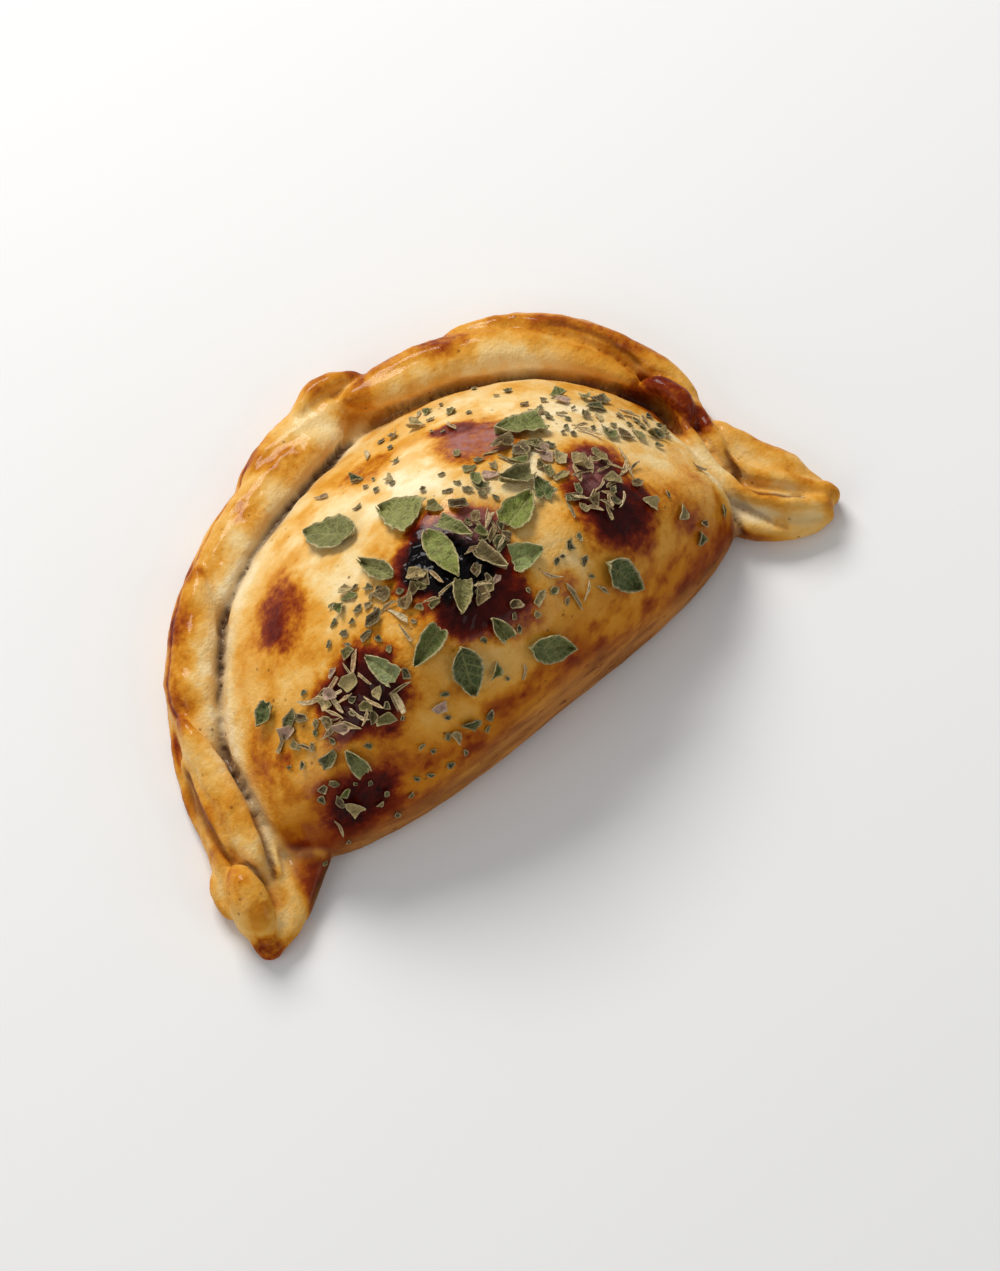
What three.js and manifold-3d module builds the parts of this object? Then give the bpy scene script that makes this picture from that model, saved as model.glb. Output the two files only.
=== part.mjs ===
// A baked empanada. A round of dough is folded over its filling, and the curved edge is sealed
// by a rim of overlapping hand-made folds that runs out into a twisted horn at each end.
// Dried oregano leaves lie on top, among small flakes of the same herb.
// Millimetres, +Z up. X runs from horn to horn, -Y is the folded side and +Y the rim.
import * as THREE from 'three';
import { mergeVertices } from 'three/addons/utils/BufferGeometryUtils.js';
import Module from 'manifold-3d';

const wasm = await Module();
wasm.setup();

// ---------- driving dimensions ----------

// Shapes are drawn from the middle of the line between the two horn tips, and this is how far
// the centre of the whole empanada lies from it.
const drawnCentre = new THREE.Vector2(1.17, 38.94);

// The filled body, seen from above, is two half superellipses that meet at the waist line.
const body = {
  waist: new THREE.Vector2(0.3, 20),
  halfLength: 54,
  waistToRim: 48.5, // the body's dough runs on under the rim's folds
  waistToFold: 18.4,
  rimPower: 2.2,
  foldPower: 2.8,
  slant: 0.14, // how far the rim side leans to +X for each mm of Y
  foldTilt: 0.031, // how far the folded side swings towards the rim for each mm of X
  apex: new THREE.Vector2(2.5, 22.5),
  height: 34,
  crown: 2,
  bottomPower: 6,
  swell: 0.45, // hand-rolled dough is never quite even
  swellLength: 21,
};

// How the body rises from its outline, on the folded side, at the two ends and at the rim. Its
// widest line lies at edgeHeight, and fullness is 0.5 for an ellipse and 1 for a parabola.
const bodyRise = {
  edgeHeight: [11, 3, 1.5],
  fullness: [0.5, 0.8, 1.05],
};

// The middle line of the rim, from the left horn's tip to the right one's.
const rimLine = [
  [-62.5, 0.5], [-58.8, 16], [-50.3, 38], [-32, 58.5], [-6, 69], [22, 69.3],
  [45, 57], [56.5, 38], [55.8, 18.5], [58.8, 9.4], [65, 3],
];

// Each fold of the rim runs between two stations, measured along the rim line. Its lane is how
// far it lies outside that line. Lane, half width and top are evenly spaced along the fold.
const folds = {
  flange: { from: 1, to: 210, lane: [-0.4, 0, 0], halfWidth: [3, 5.2, 3], top: [4, 5, 4] },
  leftHornBase: {
    from: 21, to: -1.8,
    lane: [-1.2, -2, -2.4, 1.6], halfWidth: [4.8, 7.2, 7, 3.4], top: [6, 6, 5.4, 4.4],
  },
  leftNeck: { from: 1.5, to: 24, lane: [-6, -12.6, -16.5], halfWidth: [1.7, 4.1, 5], top: [4, 6, 9] },
  leftUnderLip: {
    from: 29, to: 8,
    lane: [-5.8, -6.8, -5.2], halfWidth: [1.2, 1.7, 1.4], top: [7.2, 7.4, 6.4],
  },
  leftOuterStrand: {
    from: 37, to: 11,
    lane: [1.6, 0.8, 2.3], halfWidth: [1.5, 2.1, 1.8], top: [7.2, 8, 6.6],
  },
  longLeftFold: {
    from: 59, to: 109.5,
    lane: [-1.4, -1.4, -1.1, -0.3], halfWidth: [4.4, 5.6, 5.6, 4.6], top: [8, 9.4, 9.8, 9.4],
  },
  leftShoulderFold: {
    from: 72.5, to: 32,
    lane: [2.2, -0.3, -1.2, -2.8], halfWidth: [1.8, 4.8, 5, 2.6], top: [10.6, 10, 9.2, 7.4],
  },
  leftRope: {
    from: 44, to: 9.5,
    lane: [2.5, -1.4, -3, -3.4], halfWidth: [1.2, 2.9, 3.5, 1.8], top: [9.6, 10.8, 10.4, 8.4],
  },
  leftKnob: {
    from: 14.5, to: 0.3,
    lane: [0.3, 0.6, -0.2], halfWidth: [2.3, 3.5, 2.8], top: [9.6, 10.6, 8],
  },
  rearTuck: {
    from: 101, to: 118.5,
    lane: [3.4, 6.2, 3.2], halfWidth: [1.8, 2.5, 1.7], top: [9, 9.6, 8.6],
  },
  bigRoll: {
    from: 108.5, to: 170,
    lane: [2.2, -0.6, -0.2, -0.2, -1.3, -2.3],
    halfWidth: [1.8, 4.9, 5.3, 4.8, 3.3, 2],
    top: [9.6, 11.2, 11.8, 11.2, 10.2, 9.4],
  },
  rightOuterRidge: {
    from: 130, to: 180,
    lane: [4, 5.1, 4.4, 3.2, 1.4], halfWidth: [1.6, 2.8, 3, 2.8, 1.8], top: [8.4, 9.8, 9.8, 9.2, 8],
  },
  burntEnd: {
    from: 168.5, to: 183.5,
    lane: [-2.2, -1.1, -0.8, -2.1], halfWidth: [1.5, 2.5, 2.5, 1.5], top: [10, 11.6, 11.2, 9],
  },
  rightInnerRope: {
    from: 177, to: 212,
    lane: [-1.6, -3.1, -3.3, -1.9, -0.8], halfWidth: [1.6, 1.9, 2.1, 2.3, 2], top: [9, 8.8, 8.6, 8, 6.4],
  },
  rightOuterRope: {
    from: 174, to: 212.5,
    lane: [1.8, 0.8, 0.9, 2.6, 1.2], halfWidth: [1.8, 1.8, 1.9, 2.2, 2], top: [8.6, 8.2, 7.8, 7.2, 6],
  },
  rightHornLobe: {
    from: 181, to: 211,
    lane: [1.6, 4.6, 5.4, 2], halfWidth: [1.6, 3.2, 3.5, 2], top: [7, 6.8, 6.4, 5.4],
  },
  rightHornBase: {
    from: 191, to: 212,
    lane: [-5.6, -6, -3.6, -0.6], halfWidth: [3.2, 3.5, 3.4, 2.8], top: [6.4, 5.8, 5.2, 4.6],
  },
};
const foldSquareness = 2.3; // 2 is a round section, more is boxier
const foldLeanIn = 0.9; // how far a fold's top leans over the body
const foldSunk = 0.35; // how far a fold reaches under the table plane, which trims it flat

// The large dried leaves. A leaf's middle is at, its tip points that many degrees from +X, and a
// torn one has lost that share of its length at the stalk. Lift is its height above the crust.
const leaves = [
  { at: [-12.5, 46], points: 117, length: 12.6, width: 7.4 },
  { at: [-3.1, 38.9], points: 110, length: 9, width: 7.6, torn: 0.35 },
  { at: [24.7, 40.3], points: 157, length: 9, width: 7, torn: 0.2 },
  { at: [11.9, 25.2], points: 20, length: 7.8, width: 5.6, torn: 0.15 },
  { at: [-3.7, 26.3], points: -97, length: 10.2, width: 4.6, lift: 0.9 },
  { at: [0.6, 28.2], points: -68, length: 6.4, width: 2.8, torn: 0.3, lift: 1.9 },
  { at: [7.6, 18], points: -15, length: 5.6, width: 5, torn: 0.35 },
  { at: [2, 20.8], points: -71, length: 6, width: 2.8, torn: 0.3 },
  { at: [-6.1, 18.6], points: -130, length: 5.8, width: 3.2, torn: 0.2 },
  { at: [-12.5, 32.8], points: 101, length: 8, width: 3.2, torn: 0.1 },
  { at: [15.7, 30.6], points: 157, length: 5.8, width: 3.6, torn: 0.2 },
  { at: [17.8, 26.4], points: 76, length: 4.4, width: 3.8, torn: 0.45 },
  { at: [20.3, 8.3], points: -52, length: 9.6, width: 5.6 },
  { at: [2.3, 5.5], points: -23, length: 9.4, width: 5.4 },
  { at: [-12.3, 9.8], points: -111, length: 8.8, width: 5.4 },
  { at: [-15.6, 16], points: -166, length: 7.7, width: 3.8, torn: 0.2 },
  { at: [-23.1, 18.6], points: 100, length: 6.6, width: 3.6, torn: 0.3, lift: 0.6 },
  { at: [-40.3, 29], points: -161, length: 4.4, width: 4, torn: 0.15 },
  { at: [-34.9, 11.4], points: 98, length: 5.2, width: 2.8, torn: 0.2 },
  { at: [-3.8, 11.5], points: 100, length: 4.6, width: 2.8, torn: 0.2 },
];
const leafThickness = 0.45;
const leafGap = 0.32; // a leaf touches the crust only here and there
const leafRise = 0.3; // how much higher its edges lie than its midrib
const leafRipple = 0.22;
const leafCells = [6, 2]; // along and across

// The small flakes lie in patches. Runs is the way a patch's longer reach lies, in degrees from
// +X, and straws and specks are the shares of its flakes that are thin slivers or mere crumbs.
const patches = [
  { at: [27.3, 22], reach: [8.5, 6], runs: 20, count: 17, straws: 0.55, specks: 0.1 },
  { at: [-2, 23.5], reach: [9.5, 7], runs: 10, count: 15, straws: 0.5, specks: 0.1 },
  { at: [-27, 18], reach: [8, 5.5], runs: 0, count: 15, straws: 0.7, specks: 0.1 },
  { at: [-37.5, 10.5], reach: [6.5, 4], runs: 30, count: 6, straws: 0.2, specks: 0.4 },
  { at: [42, 32], reach: [8, 5], runs: -50, count: 9, straws: 0.1, specks: 0.5 },
  { at: [17, 32], reach: [9, 6.5], runs: -30, count: 11, straws: 0.1, specks: 0.2 },
  { at: [29, 38], reach: [9, 5.5], runs: -20, count: 8, straws: 0.1, specks: 0.6 },
  { at: [-20, 29], reach: [8, 6], runs: 40, count: 10, straws: 0.1, specks: 0.5 },
  { at: [-38, 20], reach: [8, 5], runs: 60, count: 7, straws: 0.3, specks: 0.4 },
  { at: [-6, 9], reach: [15, 5], runs: 8, count: 7, straws: 0.2, specks: 0.6 },
  { at: [15, 12], reach: [8, 5], runs: 0, count: 5, straws: 0.3, specks: 0.5 },
];
// Shortest and longest length, the width as a share of it, and the outline's corners, as shares
// of half the length and half the width.
const flakeKinds = {
  chip: {
    length: [2.3, 3.8], slender: 0.55,
    corners: [[1, 0], [0.2, 1], [-0.8, 0.7], [-1, -0.5], [0.1, -1]],
  },
  straw: { length: [3, 5], slender: 0.26, corners: [[1, -0.4], [0.9, 0.8], [-1, 0.6], [-0.9, -1]] },
  speck: { length: [1.3, 2], slender: 0.75, corners: [[1, 0.3], [-0.2, 1], [-1, -0.2], [0.2, -1]] },
};
const flakeThickness = 0.9; // with the part that is sunk
const flakeSunk = 0.45;
const flakeTilt = 14; // degrees
const flakeSpacing = 1.3;
const flakeClearance = 0.9; // from a leaf's outline
const flakeTries = 80; // for each patch
const firstSeed = 41;

const bodySegments = 52;
const bodyRings = 24;
const ringSpacing = 3.6;
const foldSides = 10;

// ---------- small tools ----------

// The value of evenly spaced samples at share u, smoothly interpolated.
function sampled(values, u) {
  const at = Math.min(Math.max(u, 0), 1) * (values.length - 1);
  const i = Math.min(Math.floor(at), values.length - 2);
  const t = at - i;
  const b = values[i];
  const c = values[i + 1];
  const a = i > 0 ? values[i - 1] : 2 * b - c;
  const d = i + 2 < values.length ? values[i + 2] : 2 * c - b;
  const bend = 2 * a - 5 * b + 4 * c - d;
  const twist = 3 * b - a - 3 * c + d;
  return 0.5 * (2 * b + (c - a) * t + bend * t ** 2 + twist * t ** 3);
}

const signedPower = (value, power) => Math.sign(value) * Math.abs(value) ** power;

// A closed three.js geometry as a solid that can be joined or cut.
function solidOf(geometry) {
  const bare = geometry.clone();
  bare.deleteAttribute('normal');
  bare.deleteAttribute('uv');
  const merged = mergeVertices(bare, 1e-4);
  return new wasm.Manifold(new wasm.Mesh({
    numProp: 3,
    vertProperties: merged.attributes.position.array,
    triVerts: new Uint32Array(merged.index.array),
  }));
}

function geometryOf(solid) {
  const mesh = solid.getMesh();
  const geometry = new THREE.BufferGeometry();
  geometry.setAttribute('position', new THREE.BufferAttribute(new Float32Array(mesh.vertProperties), 3));
  geometry.setIndex(new THREE.BufferAttribute(new Uint32Array(mesh.triVerts), 1));
  return geometry;
}

// A unit sphere's points moved one by one: the usual start for a soft, closed lump of dough. Its
// poles lie on Z, or with lying on X.
function mouldedSphere(segments, rings, mould, lying = false) {
  const geometry = new THREE.SphereGeometry(1, segments, rings).rotateZ(lying ? -Math.PI / 2 : 0);
  const points = geometry.attributes.position;
  const point = new THREE.Vector3();
  for (let i = 0; i < points.count; i += 1) {
    point.fromBufferAttribute(points, i);
    const [x, y, z] = mould(point.x, -point.z, point.y);
    points.setXYZ(i, x, y, z);
  }
  return geometry;
}

// ---------- the filled body ----------

// How far the outline lies from the waist in the direction of the angle.
function outlineReach(angle) {
  const rimSide = Math.sin(angle) > 0;
  const power = rimSide ? body.rimPower : body.foldPower;
  const depth = rimSide ? body.waistToRim : body.waistToFold;
  const along = Math.abs(Math.cos(angle) / body.halfLength) ** power;
  const across = Math.abs(Math.sin(angle) / depth) ** power;
  return (along + across) ** (-1 / power);
}

function swelling(plan) {
  const along = plan.x / body.swellLength;
  const across = plan.y / body.swellLength;
  const broad = Math.sin(2.1 * along + 0.6) * Math.cos(3.3 * across);
  return body.swell * (broad + Math.sin(4.3 * along - 2.9 * across));
}

function mouldBody(x, y, z) {
  const angle = Math.atan2(y, x);
  const spread = Math.min(Math.hypot(x, y), 1);
  const reach = outlineReach(angle);
  const outline = new THREE.Vector2(Math.cos(angle), Math.sin(angle)).multiplyScalar(reach);
  outline.x += body.slant * Math.max(outline.y, 0);
  outline.y += body.foldTilt * outline.x * Math.max(-Math.sin(angle), 0);
  outline.add(body.waist);
  const plan = body.apex.clone().lerp(outline, spread);
  const towardsRim = (Math.sin(angle) + 1) / 2;
  const edgeHeight = sampled(bodyRise.edgeHeight, towardsRim);
  const fullness = sampled(bodyRise.fullness, towardsRim);
  const height = z >= 0
    ? edgeHeight + (body.height - edgeHeight + swelling(plan)) * (1 - spread ** body.crown) ** fullness
    : edgeHeight - (edgeHeight + foldSunk) * (1 - spread ** body.bottomPower) ** (1 / body.bottomPower);
  return [plan.x, plan.y, height];
}

// ---------- the folds of the rim ----------

const rimCurve = new THREE.CatmullRomCurve3(
  rimLine.map(([x, y]) => new THREE.Vector3(x, y, 0)), false, 'catmullrom', 0.5);
rimCurve.arcLengthDivisions = 800;
const rimLength = rimCurve.getLength();

// The plan position at a station along the rim and a lane outside it.
function rimPoint(station, lane) {
  const share = Math.min(Math.max(station / rimLength, 0), 1);
  const along = rimCurve.getTangentAt(share);
  const point = rimCurve.getPointAt(share);
  point.addScaledVector(along, station - share * rimLength);
  return point.add(new THREE.Vector3(-along.y, along.x, 0).multiplyScalar(lane));
}

// A fold is a round-ended bar bent along its stations. The longer it is for its width, the
// squarer its ends have to be for them to look round.
function foldSolid(fold) {
  const length = Math.abs(fold.to - fold.from);
  const endPower = Math.max(2.2, (0.8 * length) / sampled(fold.halfWidth, 0.5));
  const outward = Math.sign(fold.to - fold.from);
  const line = (u) => rimPoint(THREE.MathUtils.lerp(fold.from, fold.to, u), sampled(fold.lane, u));
  const step = 0.01;
  const mould = (x, y, z) => {
    const u = (x + 1) / 2;
    const round = Math.sqrt(Math.max(0, 1 - Math.abs(x) ** endPower));
    const around = Math.atan2(z, y);
    const halfHeight = (sampled(fold.top, u) + foldSunk) / 2;
    const across = signedPower(Math.cos(around), 2 / foldSquareness) * sampled(fold.halfWidth, u) * round;
    const up = signedPower(Math.sin(around), 2 / foldSquareness) * halfHeight * round;
    const height = halfHeight - foldSunk + up;
    const leanIn = foldLeanIn * (height / sampled(fold.top, u) - 0.5) * round;
    const ahead = line(u + step).sub(line(u - step)).normalize();
    const sideways = new THREE.Vector3(-ahead.y, ahead.x, 0).multiplyScalar(across - outward * leanIn);
    return line(u).add(sideways).setZ(height).toArray();
  };
  const rings = Math.ceil(length / ringSpacing) + 4;
  return solidOf(mouldedSphere(foldSides, rings, mould, true));
}

// ---------- the bare crust ----------

// The rolled-out piece without its toppings.
function crustSolid() {
  let crust = solidOf(mouldedSphere(bodySegments, bodyRings, mouldBody));
  for (const fold of Object.values(folds)) crust = crust.add(foldSolid(fold));
  const table = new THREE.BoxGeometry(300, 300, 20).translate(0, 0, -10);
  return crust.subtract(solidOf(table));
}

const crustGeometry = geometryOf(crustSolid());

// ---------- lying on the crust ----------

const caster = new THREE.Raycaster();
const crustTarget = new THREE.Mesh(crustGeometry);

// The crust's point and outward normal met from a start point along a direction.
function landing(start, direction) {
  caster.set(start, direction);
  const [met] = caster.intersectObject(crustTarget);
  return met ? { point: met.point, normal: met.face.normal } : null;
}

// A frame that lies on the crust at a plan position: its X points the given way, its Z outwards.
function frameOnCrust(x, y, degrees) {
  const met = landing(new THREE.Vector3(x, y, 2 * body.height), new THREE.Vector3(0, 0, -1));
  const heading = THREE.MathUtils.degToRad(degrees);
  const across = new THREE.Vector3(-Math.sin(heading), Math.cos(heading), 0);
  const along = across.clone().cross(met.normal).normalize();
  across.crossVectors(met.normal, along);
  return new THREE.Matrix4().makeBasis(along, across, met.normal).setPosition(met.point);
}

// ---------- leaves ----------

// Half the leaf's width at a share of its length, from the stalk to the tip. A torn leaf starts
// part of the way along the whole one.
function leafHalfWidth(leaf, share) {
  const onWhole = THREE.MathUtils.lerp(leaf.torn ?? 0, 1, share);
  return Math.max(0.5 * leaf.width * Math.sin(Math.PI * onWhole ** 0.8) ** 0.8, 0.15);
}

// A closed sheet over a grid of cells, with both faces split into triangles alike. Place gives a
// point from its shares along and across, and from 0 for the lower face or 1 for the upper.
function sheetGeometry([rows, columns], place) {
  const points = [];
  const index = [];
  const perFace = (rows + 1) * (columns + 1);
  const number = (i, j, face) => face * perFace + i * (columns + 1) + j;
  for (const face of [0, 1]) {
    for (let i = 0; i <= rows; i += 1) {
      for (let j = 0; j <= columns; j += 1) points.push(...place(i / rows, j / columns, face));
    }
  }
  const quad = (a, b, c, d) => index.push(a, b, c, a, c, d);
  for (let i = 0; i < rows; i += 1) {
    for (let j = 0; j < columns; j += 1) {
      quad(number(i, j, 1), number(i + 1, j, 1), number(i + 1, j + 1, 1), number(i, j + 1, 1));
      const [a, b, c, d] = [[i, j], [i + 1, j], [i + 1, j + 1], [i, j + 1]].map((at) => number(...at, 0));
      index.push(a, c, b, a, d, c);
    }
    quad(number(i, 0, 0), number(i + 1, 0, 0), number(i + 1, 0, 1), number(i, 0, 1));
    const far = [[i + 1, 0], [i, 0], [i, 1], [i + 1, 1]];
    quad(...far.map(([row, face]) => number(row, columns, face)));
  }
  for (let j = 0; j < columns; j += 1) {
    quad(number(0, j + 1, 0), number(0, j, 0), number(0, j, 1), number(0, j + 1, 1));
    quad(number(rows, j, 0), number(rows, j + 1, 0), number(rows, j + 1, 1), number(rows, j, 1));
  }
  const geometry = new THREE.BufferGeometry();
  geometry.setAttribute('position', new THREE.Float32BufferAttribute(points, 3));
  geometry.setIndex(index);
  return geometry;
}

// A leaf drops onto the crust point by point, so that it follows the dome.
function leafGeometry(leaf) {
  const frame = frameOnCrust(...leaf.at, leaf.points);
  const outward = new THREE.Vector3().setFromMatrixColumn(frame, 2);
  return sheetGeometry(leafCells, (u, v, face) => {
    const side = 2 * v - 1;
    const above = new THREE.Vector3((u - 0.5) * leaf.length, side * leafHalfWidth(leaf, u), leaf.width);
    const met = landing(above.applyMatrix4(frame), outward.clone().negate());
    const ripple = leafRipple * (1 + Math.sin(9 * u + 2 * side + leaf.length));
    const rise = leafGap + (leaf.lift ?? 0) + leafRise * Math.abs(side) + ripple + face * leafThickness;
    return met.point.addScaledVector(outward, rise).toArray();
  });
}

// ---------- flakes ----------

// Whether a plan position is clear of every leaf's outline.
function isClearOfLeaves(point) {
  return leaves.every((leaf) => {
    const away = point.clone().sub(new THREE.Vector2(...leaf.at));
    away.rotateAround(new THREE.Vector2(), -THREE.MathUtils.degToRad(leaf.points));
    const along = away.x / (leaf.length / 2 + flakeClearance);
    const across = away.y / (leaf.width / 2 + flakeClearance);
    return along ** 2 + across ** 2 > 1;
  });
}

// A repeatable run of numbers from 0 to 1.
function seededDraw(seed) {
  const range = 2 ** 32;
  let state = (seed * 2654435) % range;
  return () => {
    state = (state * 1664525 + 1013904223) % range;
    return state / range;
  };
}

function flakesOfPatch(patch, seed, taken) {
  const draw = seededDraw(seed);
  const runs = THREE.MathUtils.degToRad(patch.runs);
  const flakes = [];
  for (let tries = 0; tries < flakeTries && flakes.length < patch.count; tries += 1) {
    const round = 2 * Math.PI * draw();
    const out = Math.sqrt(draw());
    const place = new THREE.Vector2(Math.cos(round), Math.sin(round)).multiplyScalar(out);
    place.multiply(new THREE.Vector2(...patch.reach));
    place.rotateAround(new THREE.Vector2(), runs).add(new THREE.Vector2(...patch.at));
    const choice = draw();
    const sliver = choice < patch.straws ? flakeKinds.straw : flakeKinds.chip;
    const kind = choice > 1 - patch.specks ? flakeKinds.speck : sliver;
    const length = THREE.MathUtils.lerp(...kind.length, draw());
    const points = 360 * draw();
    const tilt = flakeTilt * (2 * draw() - 1);
    const tips = [-0.5, 0, 0.5].map((share) => {
      const tip = new THREE.Vector2(share * length, 0);
      return tip.rotateAround(new THREE.Vector2(), THREE.MathUtils.degToRad(points)).add(place);
    });
    if (tips.every(isClearOfLeaves) && taken.every((other) => other.distanceTo(place) > flakeSpacing)) {
      taken.push(place);
      flakes.push({ place, kind, length, points, tilt });
    }
  }
  return flakes;
}

// A flat chip with sharp corners, sunk a little into the crust.
function flakeSolid({ place, kind, length, points, tilt }) {
  const halfSize = new THREE.Vector2(length / 2, (length * kind.slender) / 2);
  const corners = kind.corners.map((corner) => new THREE.Vector2(...corner).multiply(halfSize));
  const outline = new THREE.Shape(corners);
  const flake = new THREE.ExtrudeGeometry(outline, { depth: flakeThickness, bevelEnabled: false });
  flake.translate(0, 0, -flakeSunk).rotateY(THREE.MathUtils.degToRad(tilt));
  return solidOf(flake.applyMatrix4(frameOnCrust(place.x, place.y, points)));
}

// ---------- assembly ----------

// The crust with its flakes, which are baked on to it. A scrap that only touches is left out.
function pastrySolid() {
  const taken = [];
  let pastry = crustSolid();
  patches.forEach((patch, i) => {
    for (const flake of flakesOfPatch(patch, firstSeed + i, taken)) {
      pastry = pastry.add(flakeSolid(flake));
    }
  });
  return pastry.decompose().sort((a, b) => b.volume() - a.volume())[0];
}

const goldenCrust = new THREE.MeshStandardMaterial({ color: 0xdfae62, roughness: 0.5, metalness: 0 });
const driedHerb = new THREE.MeshStandardMaterial({ color: 0x6f7040, roughness: 0.8, metalness: 0 });

const empanada = new THREE.Group();
empanada.position.set(-drawnCentre.x, -drawnCentre.y, 0);

const pastry = new THREE.Mesh(geometryOf(pastrySolid()), goldenCrust);
pastry.name = 'pastry';
empanada.add(pastry);

leaves.forEach((leaf, i) => {
  const oregano = new THREE.Mesh(leafGeometry(leaf), driedHerb);
  oregano.name = `oregano_leaf_${String(i + 1).padStart(2, '0')}`;
  empanada.add(oregano);
});

export default empanada;
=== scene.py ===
# A baked empanada with dried oregano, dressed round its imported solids. The solids say where each
# thing lies, and this script makes the dough, the browning, the burnt spots and the herbs.
import math

import bpy
import numpy as np
from mathutils import Matrix, Vector, noise
from mathutils.bvhtree import BVHTree


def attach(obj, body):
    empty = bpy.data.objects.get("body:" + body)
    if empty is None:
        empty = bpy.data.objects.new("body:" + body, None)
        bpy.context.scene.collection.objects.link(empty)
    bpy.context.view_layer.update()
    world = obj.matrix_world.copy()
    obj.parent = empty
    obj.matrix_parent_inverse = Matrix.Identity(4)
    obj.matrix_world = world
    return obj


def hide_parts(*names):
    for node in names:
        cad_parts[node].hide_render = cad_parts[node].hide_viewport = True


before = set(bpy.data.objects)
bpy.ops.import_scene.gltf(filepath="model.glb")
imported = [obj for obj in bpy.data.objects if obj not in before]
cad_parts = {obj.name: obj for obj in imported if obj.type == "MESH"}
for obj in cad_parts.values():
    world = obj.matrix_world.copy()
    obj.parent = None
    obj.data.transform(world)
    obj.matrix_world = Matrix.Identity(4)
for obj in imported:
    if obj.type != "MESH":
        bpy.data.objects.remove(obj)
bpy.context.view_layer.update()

mm = 0.001
drawnCentre = np.array((1.17, 38.94, 0))  # shapes are drawn from the middle between the horn tips, in mm
body = "root"
print("frame loaded:", len(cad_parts), "nodes")

# Where the camera stands to match the photograph: angles in degrees, the lens in millimetres, and
# the rest in metres.
camera = {
    "azimuth": 39.63, "elevation": 65, "lens": 100, "distance": 0.62235,
    "target": (0.003236, -0.01782, 0),
}
studio = {
    "surroundings": (0.9, 0.95, 1.0), "surroundingsStrength": 0.34,
    "floorSize": 3, "floorColour": (0.86, 0.85, 0.835), "floorRoughness": 0.9,
}
# Where each soft light hangs from the middle of the object, its size, its power and its colour.
lights = {
    "window": ((0.16, 0.72, 0.64), (0.5, 0.4), 8.6, (1, 0.985, 0.96)),
    "fill": ((-0.8, 0.0, 0.55), (0.6, 0.6), 1.8, (1, 0.98, 0.95)),
    "side": ((0.35, -0.8, 0.5), (0.5, 0.5), 1.0, (1, 0.97, 0.93)),
}


def deselectAll():
    if bpy.context.object and bpy.context.object.mode != "OBJECT":
        bpy.ops.object.mode_set(mode="OBJECT")
    bpy.ops.object.select_all(action="DESELECT")


def selectOnly(*pieces):
    deselectAll()
    for piece in pieces:
        piece.select_set(True)
    bpy.context.view_layer.objects.active = pieces[0]


def aimCamera():
    azimuth, elevation = math.radians(camera["azimuth"]), math.radians(camera["elevation"])
    ahead = Vector((math.sin(azimuth) * math.cos(elevation), math.cos(azimuth) * math.cos(elevation),
                    -math.sin(elevation)))
    place = Vector(camera["target"]) - camera["distance"] * ahead
    bpy.ops.object.camera_add(location=place, rotation=ahead.to_track_quat("-Z", "Y").to_euler())
    bpy.context.object.data.lens = camera["lens"]
    bpy.context.scene.camera = bpy.context.object


def hangLight(name, place, size, power, colour):
    turn = (-Vector(place)).to_track_quat("-Z", "Y").to_euler()
    bpy.ops.object.light_add(type="AREA", location=place, rotation=turn)
    lamp = bpy.context.object
    lamp.name = name + "Light"
    lamp.data.shape = "RECTANGLE"
    lamp.data.size, lamp.data.size_y = size
    lamp.data.energy = power
    lamp.data.color = colour


def newMaterial(name):
    material = bpy.data.materials.new(name)
    material.use_nodes = True
    return material, material.node_tree, material.node_tree.nodes["Principled BSDF"]


def isSocket(value):
    return isinstance(value, bpy.types.NodeSocket)


# Sets each input of a node to a value, or links it to another node's output.
def wire(node, inputs):
    for socket, value in inputs.items():
        if isSocket(value):
            node.id_data.links.new(value, node.inputs[socket])
        else:
            node.inputs[socket].default_value = value


def makeStudio():
    aimCamera()
    for name, light in lights.items():
        hangLight(name, *light)
    world = bpy.data.worlds.new("surroundings")
    world.use_nodes = True
    wire(world.node_tree.nodes["Background"],
         {"Color": (*studio["surroundings"], 1), "Strength": studio["surroundingsStrength"]})
    bpy.context.scene.world = world
    bpy.context.scene.view_settings.view_transform = "Standard"
    deselectAll()
    bpy.ops.mesh.primitive_plane_add(size=studio["floorSize"], location=(0, 0, 0))
    floor = bpy.context.object
    floor.name = "floor"
    paint, _, shader = newMaterial("floorPaint")
    wire(shader, {"Base Color": (*studio["floorColour"], 1), "Roughness": studio["floorRoughness"]})
    floor.data.materials.append(paint)


makeStudio()
print("camera, lights and floor made")


def readPoints(mesh, what="co"):
    points = np.empty(len(mesh.vertices) * 3)
    mesh.vertices.foreach_get(what, points)
    return points.reshape(-1, 3)


def writePoints(mesh, points):
    mesh.vertices.foreach_set("co", np.ascontiguousarray(points, dtype=np.float32).ravel())
    mesh.update()


def toPart(drawn):  # drawn millimetres to metres about the object's own centre
    return (np.asarray(drawn) - drawnCentre) * mm


def toDrawn(points):
    return np.asarray(points) / mm + drawnCentre


def keepValue(mesh, name, values):
    layer = mesh.attributes.new(name, "FLOAT", "POINT")
    layer.data.foreach_set("value", np.ascontiguousarray(values, dtype=np.float32))


def applyModifier(piece, kind, **settings):
    selectOnly(piece)
    modifier = piece.modifiers.new(kind.lower(), kind)
    for name, value in settings.items():
        setattr(modifier, name, value)
    bpy.ops.object.modifier_apply(modifier=modifier.name)


# Runs one operator on all of a piece's faces.
def inEditMode(piece, operator, **settings):
    selectOnly(piece)
    bpy.ops.object.mode_set(mode="EDIT")
    bpy.ops.mesh.select_all(action="SELECT")
    operator(**settings)
    bpy.ops.object.mode_set(mode="OBJECT")


def smoothStep(low, high, values):
    share = np.clip((values - low) / (high - low), 0, 1)
    return share * share * (3 - 2 * share)


def signedPower(value, power):
    return np.sign(value) * np.abs(value) ** power


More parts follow.
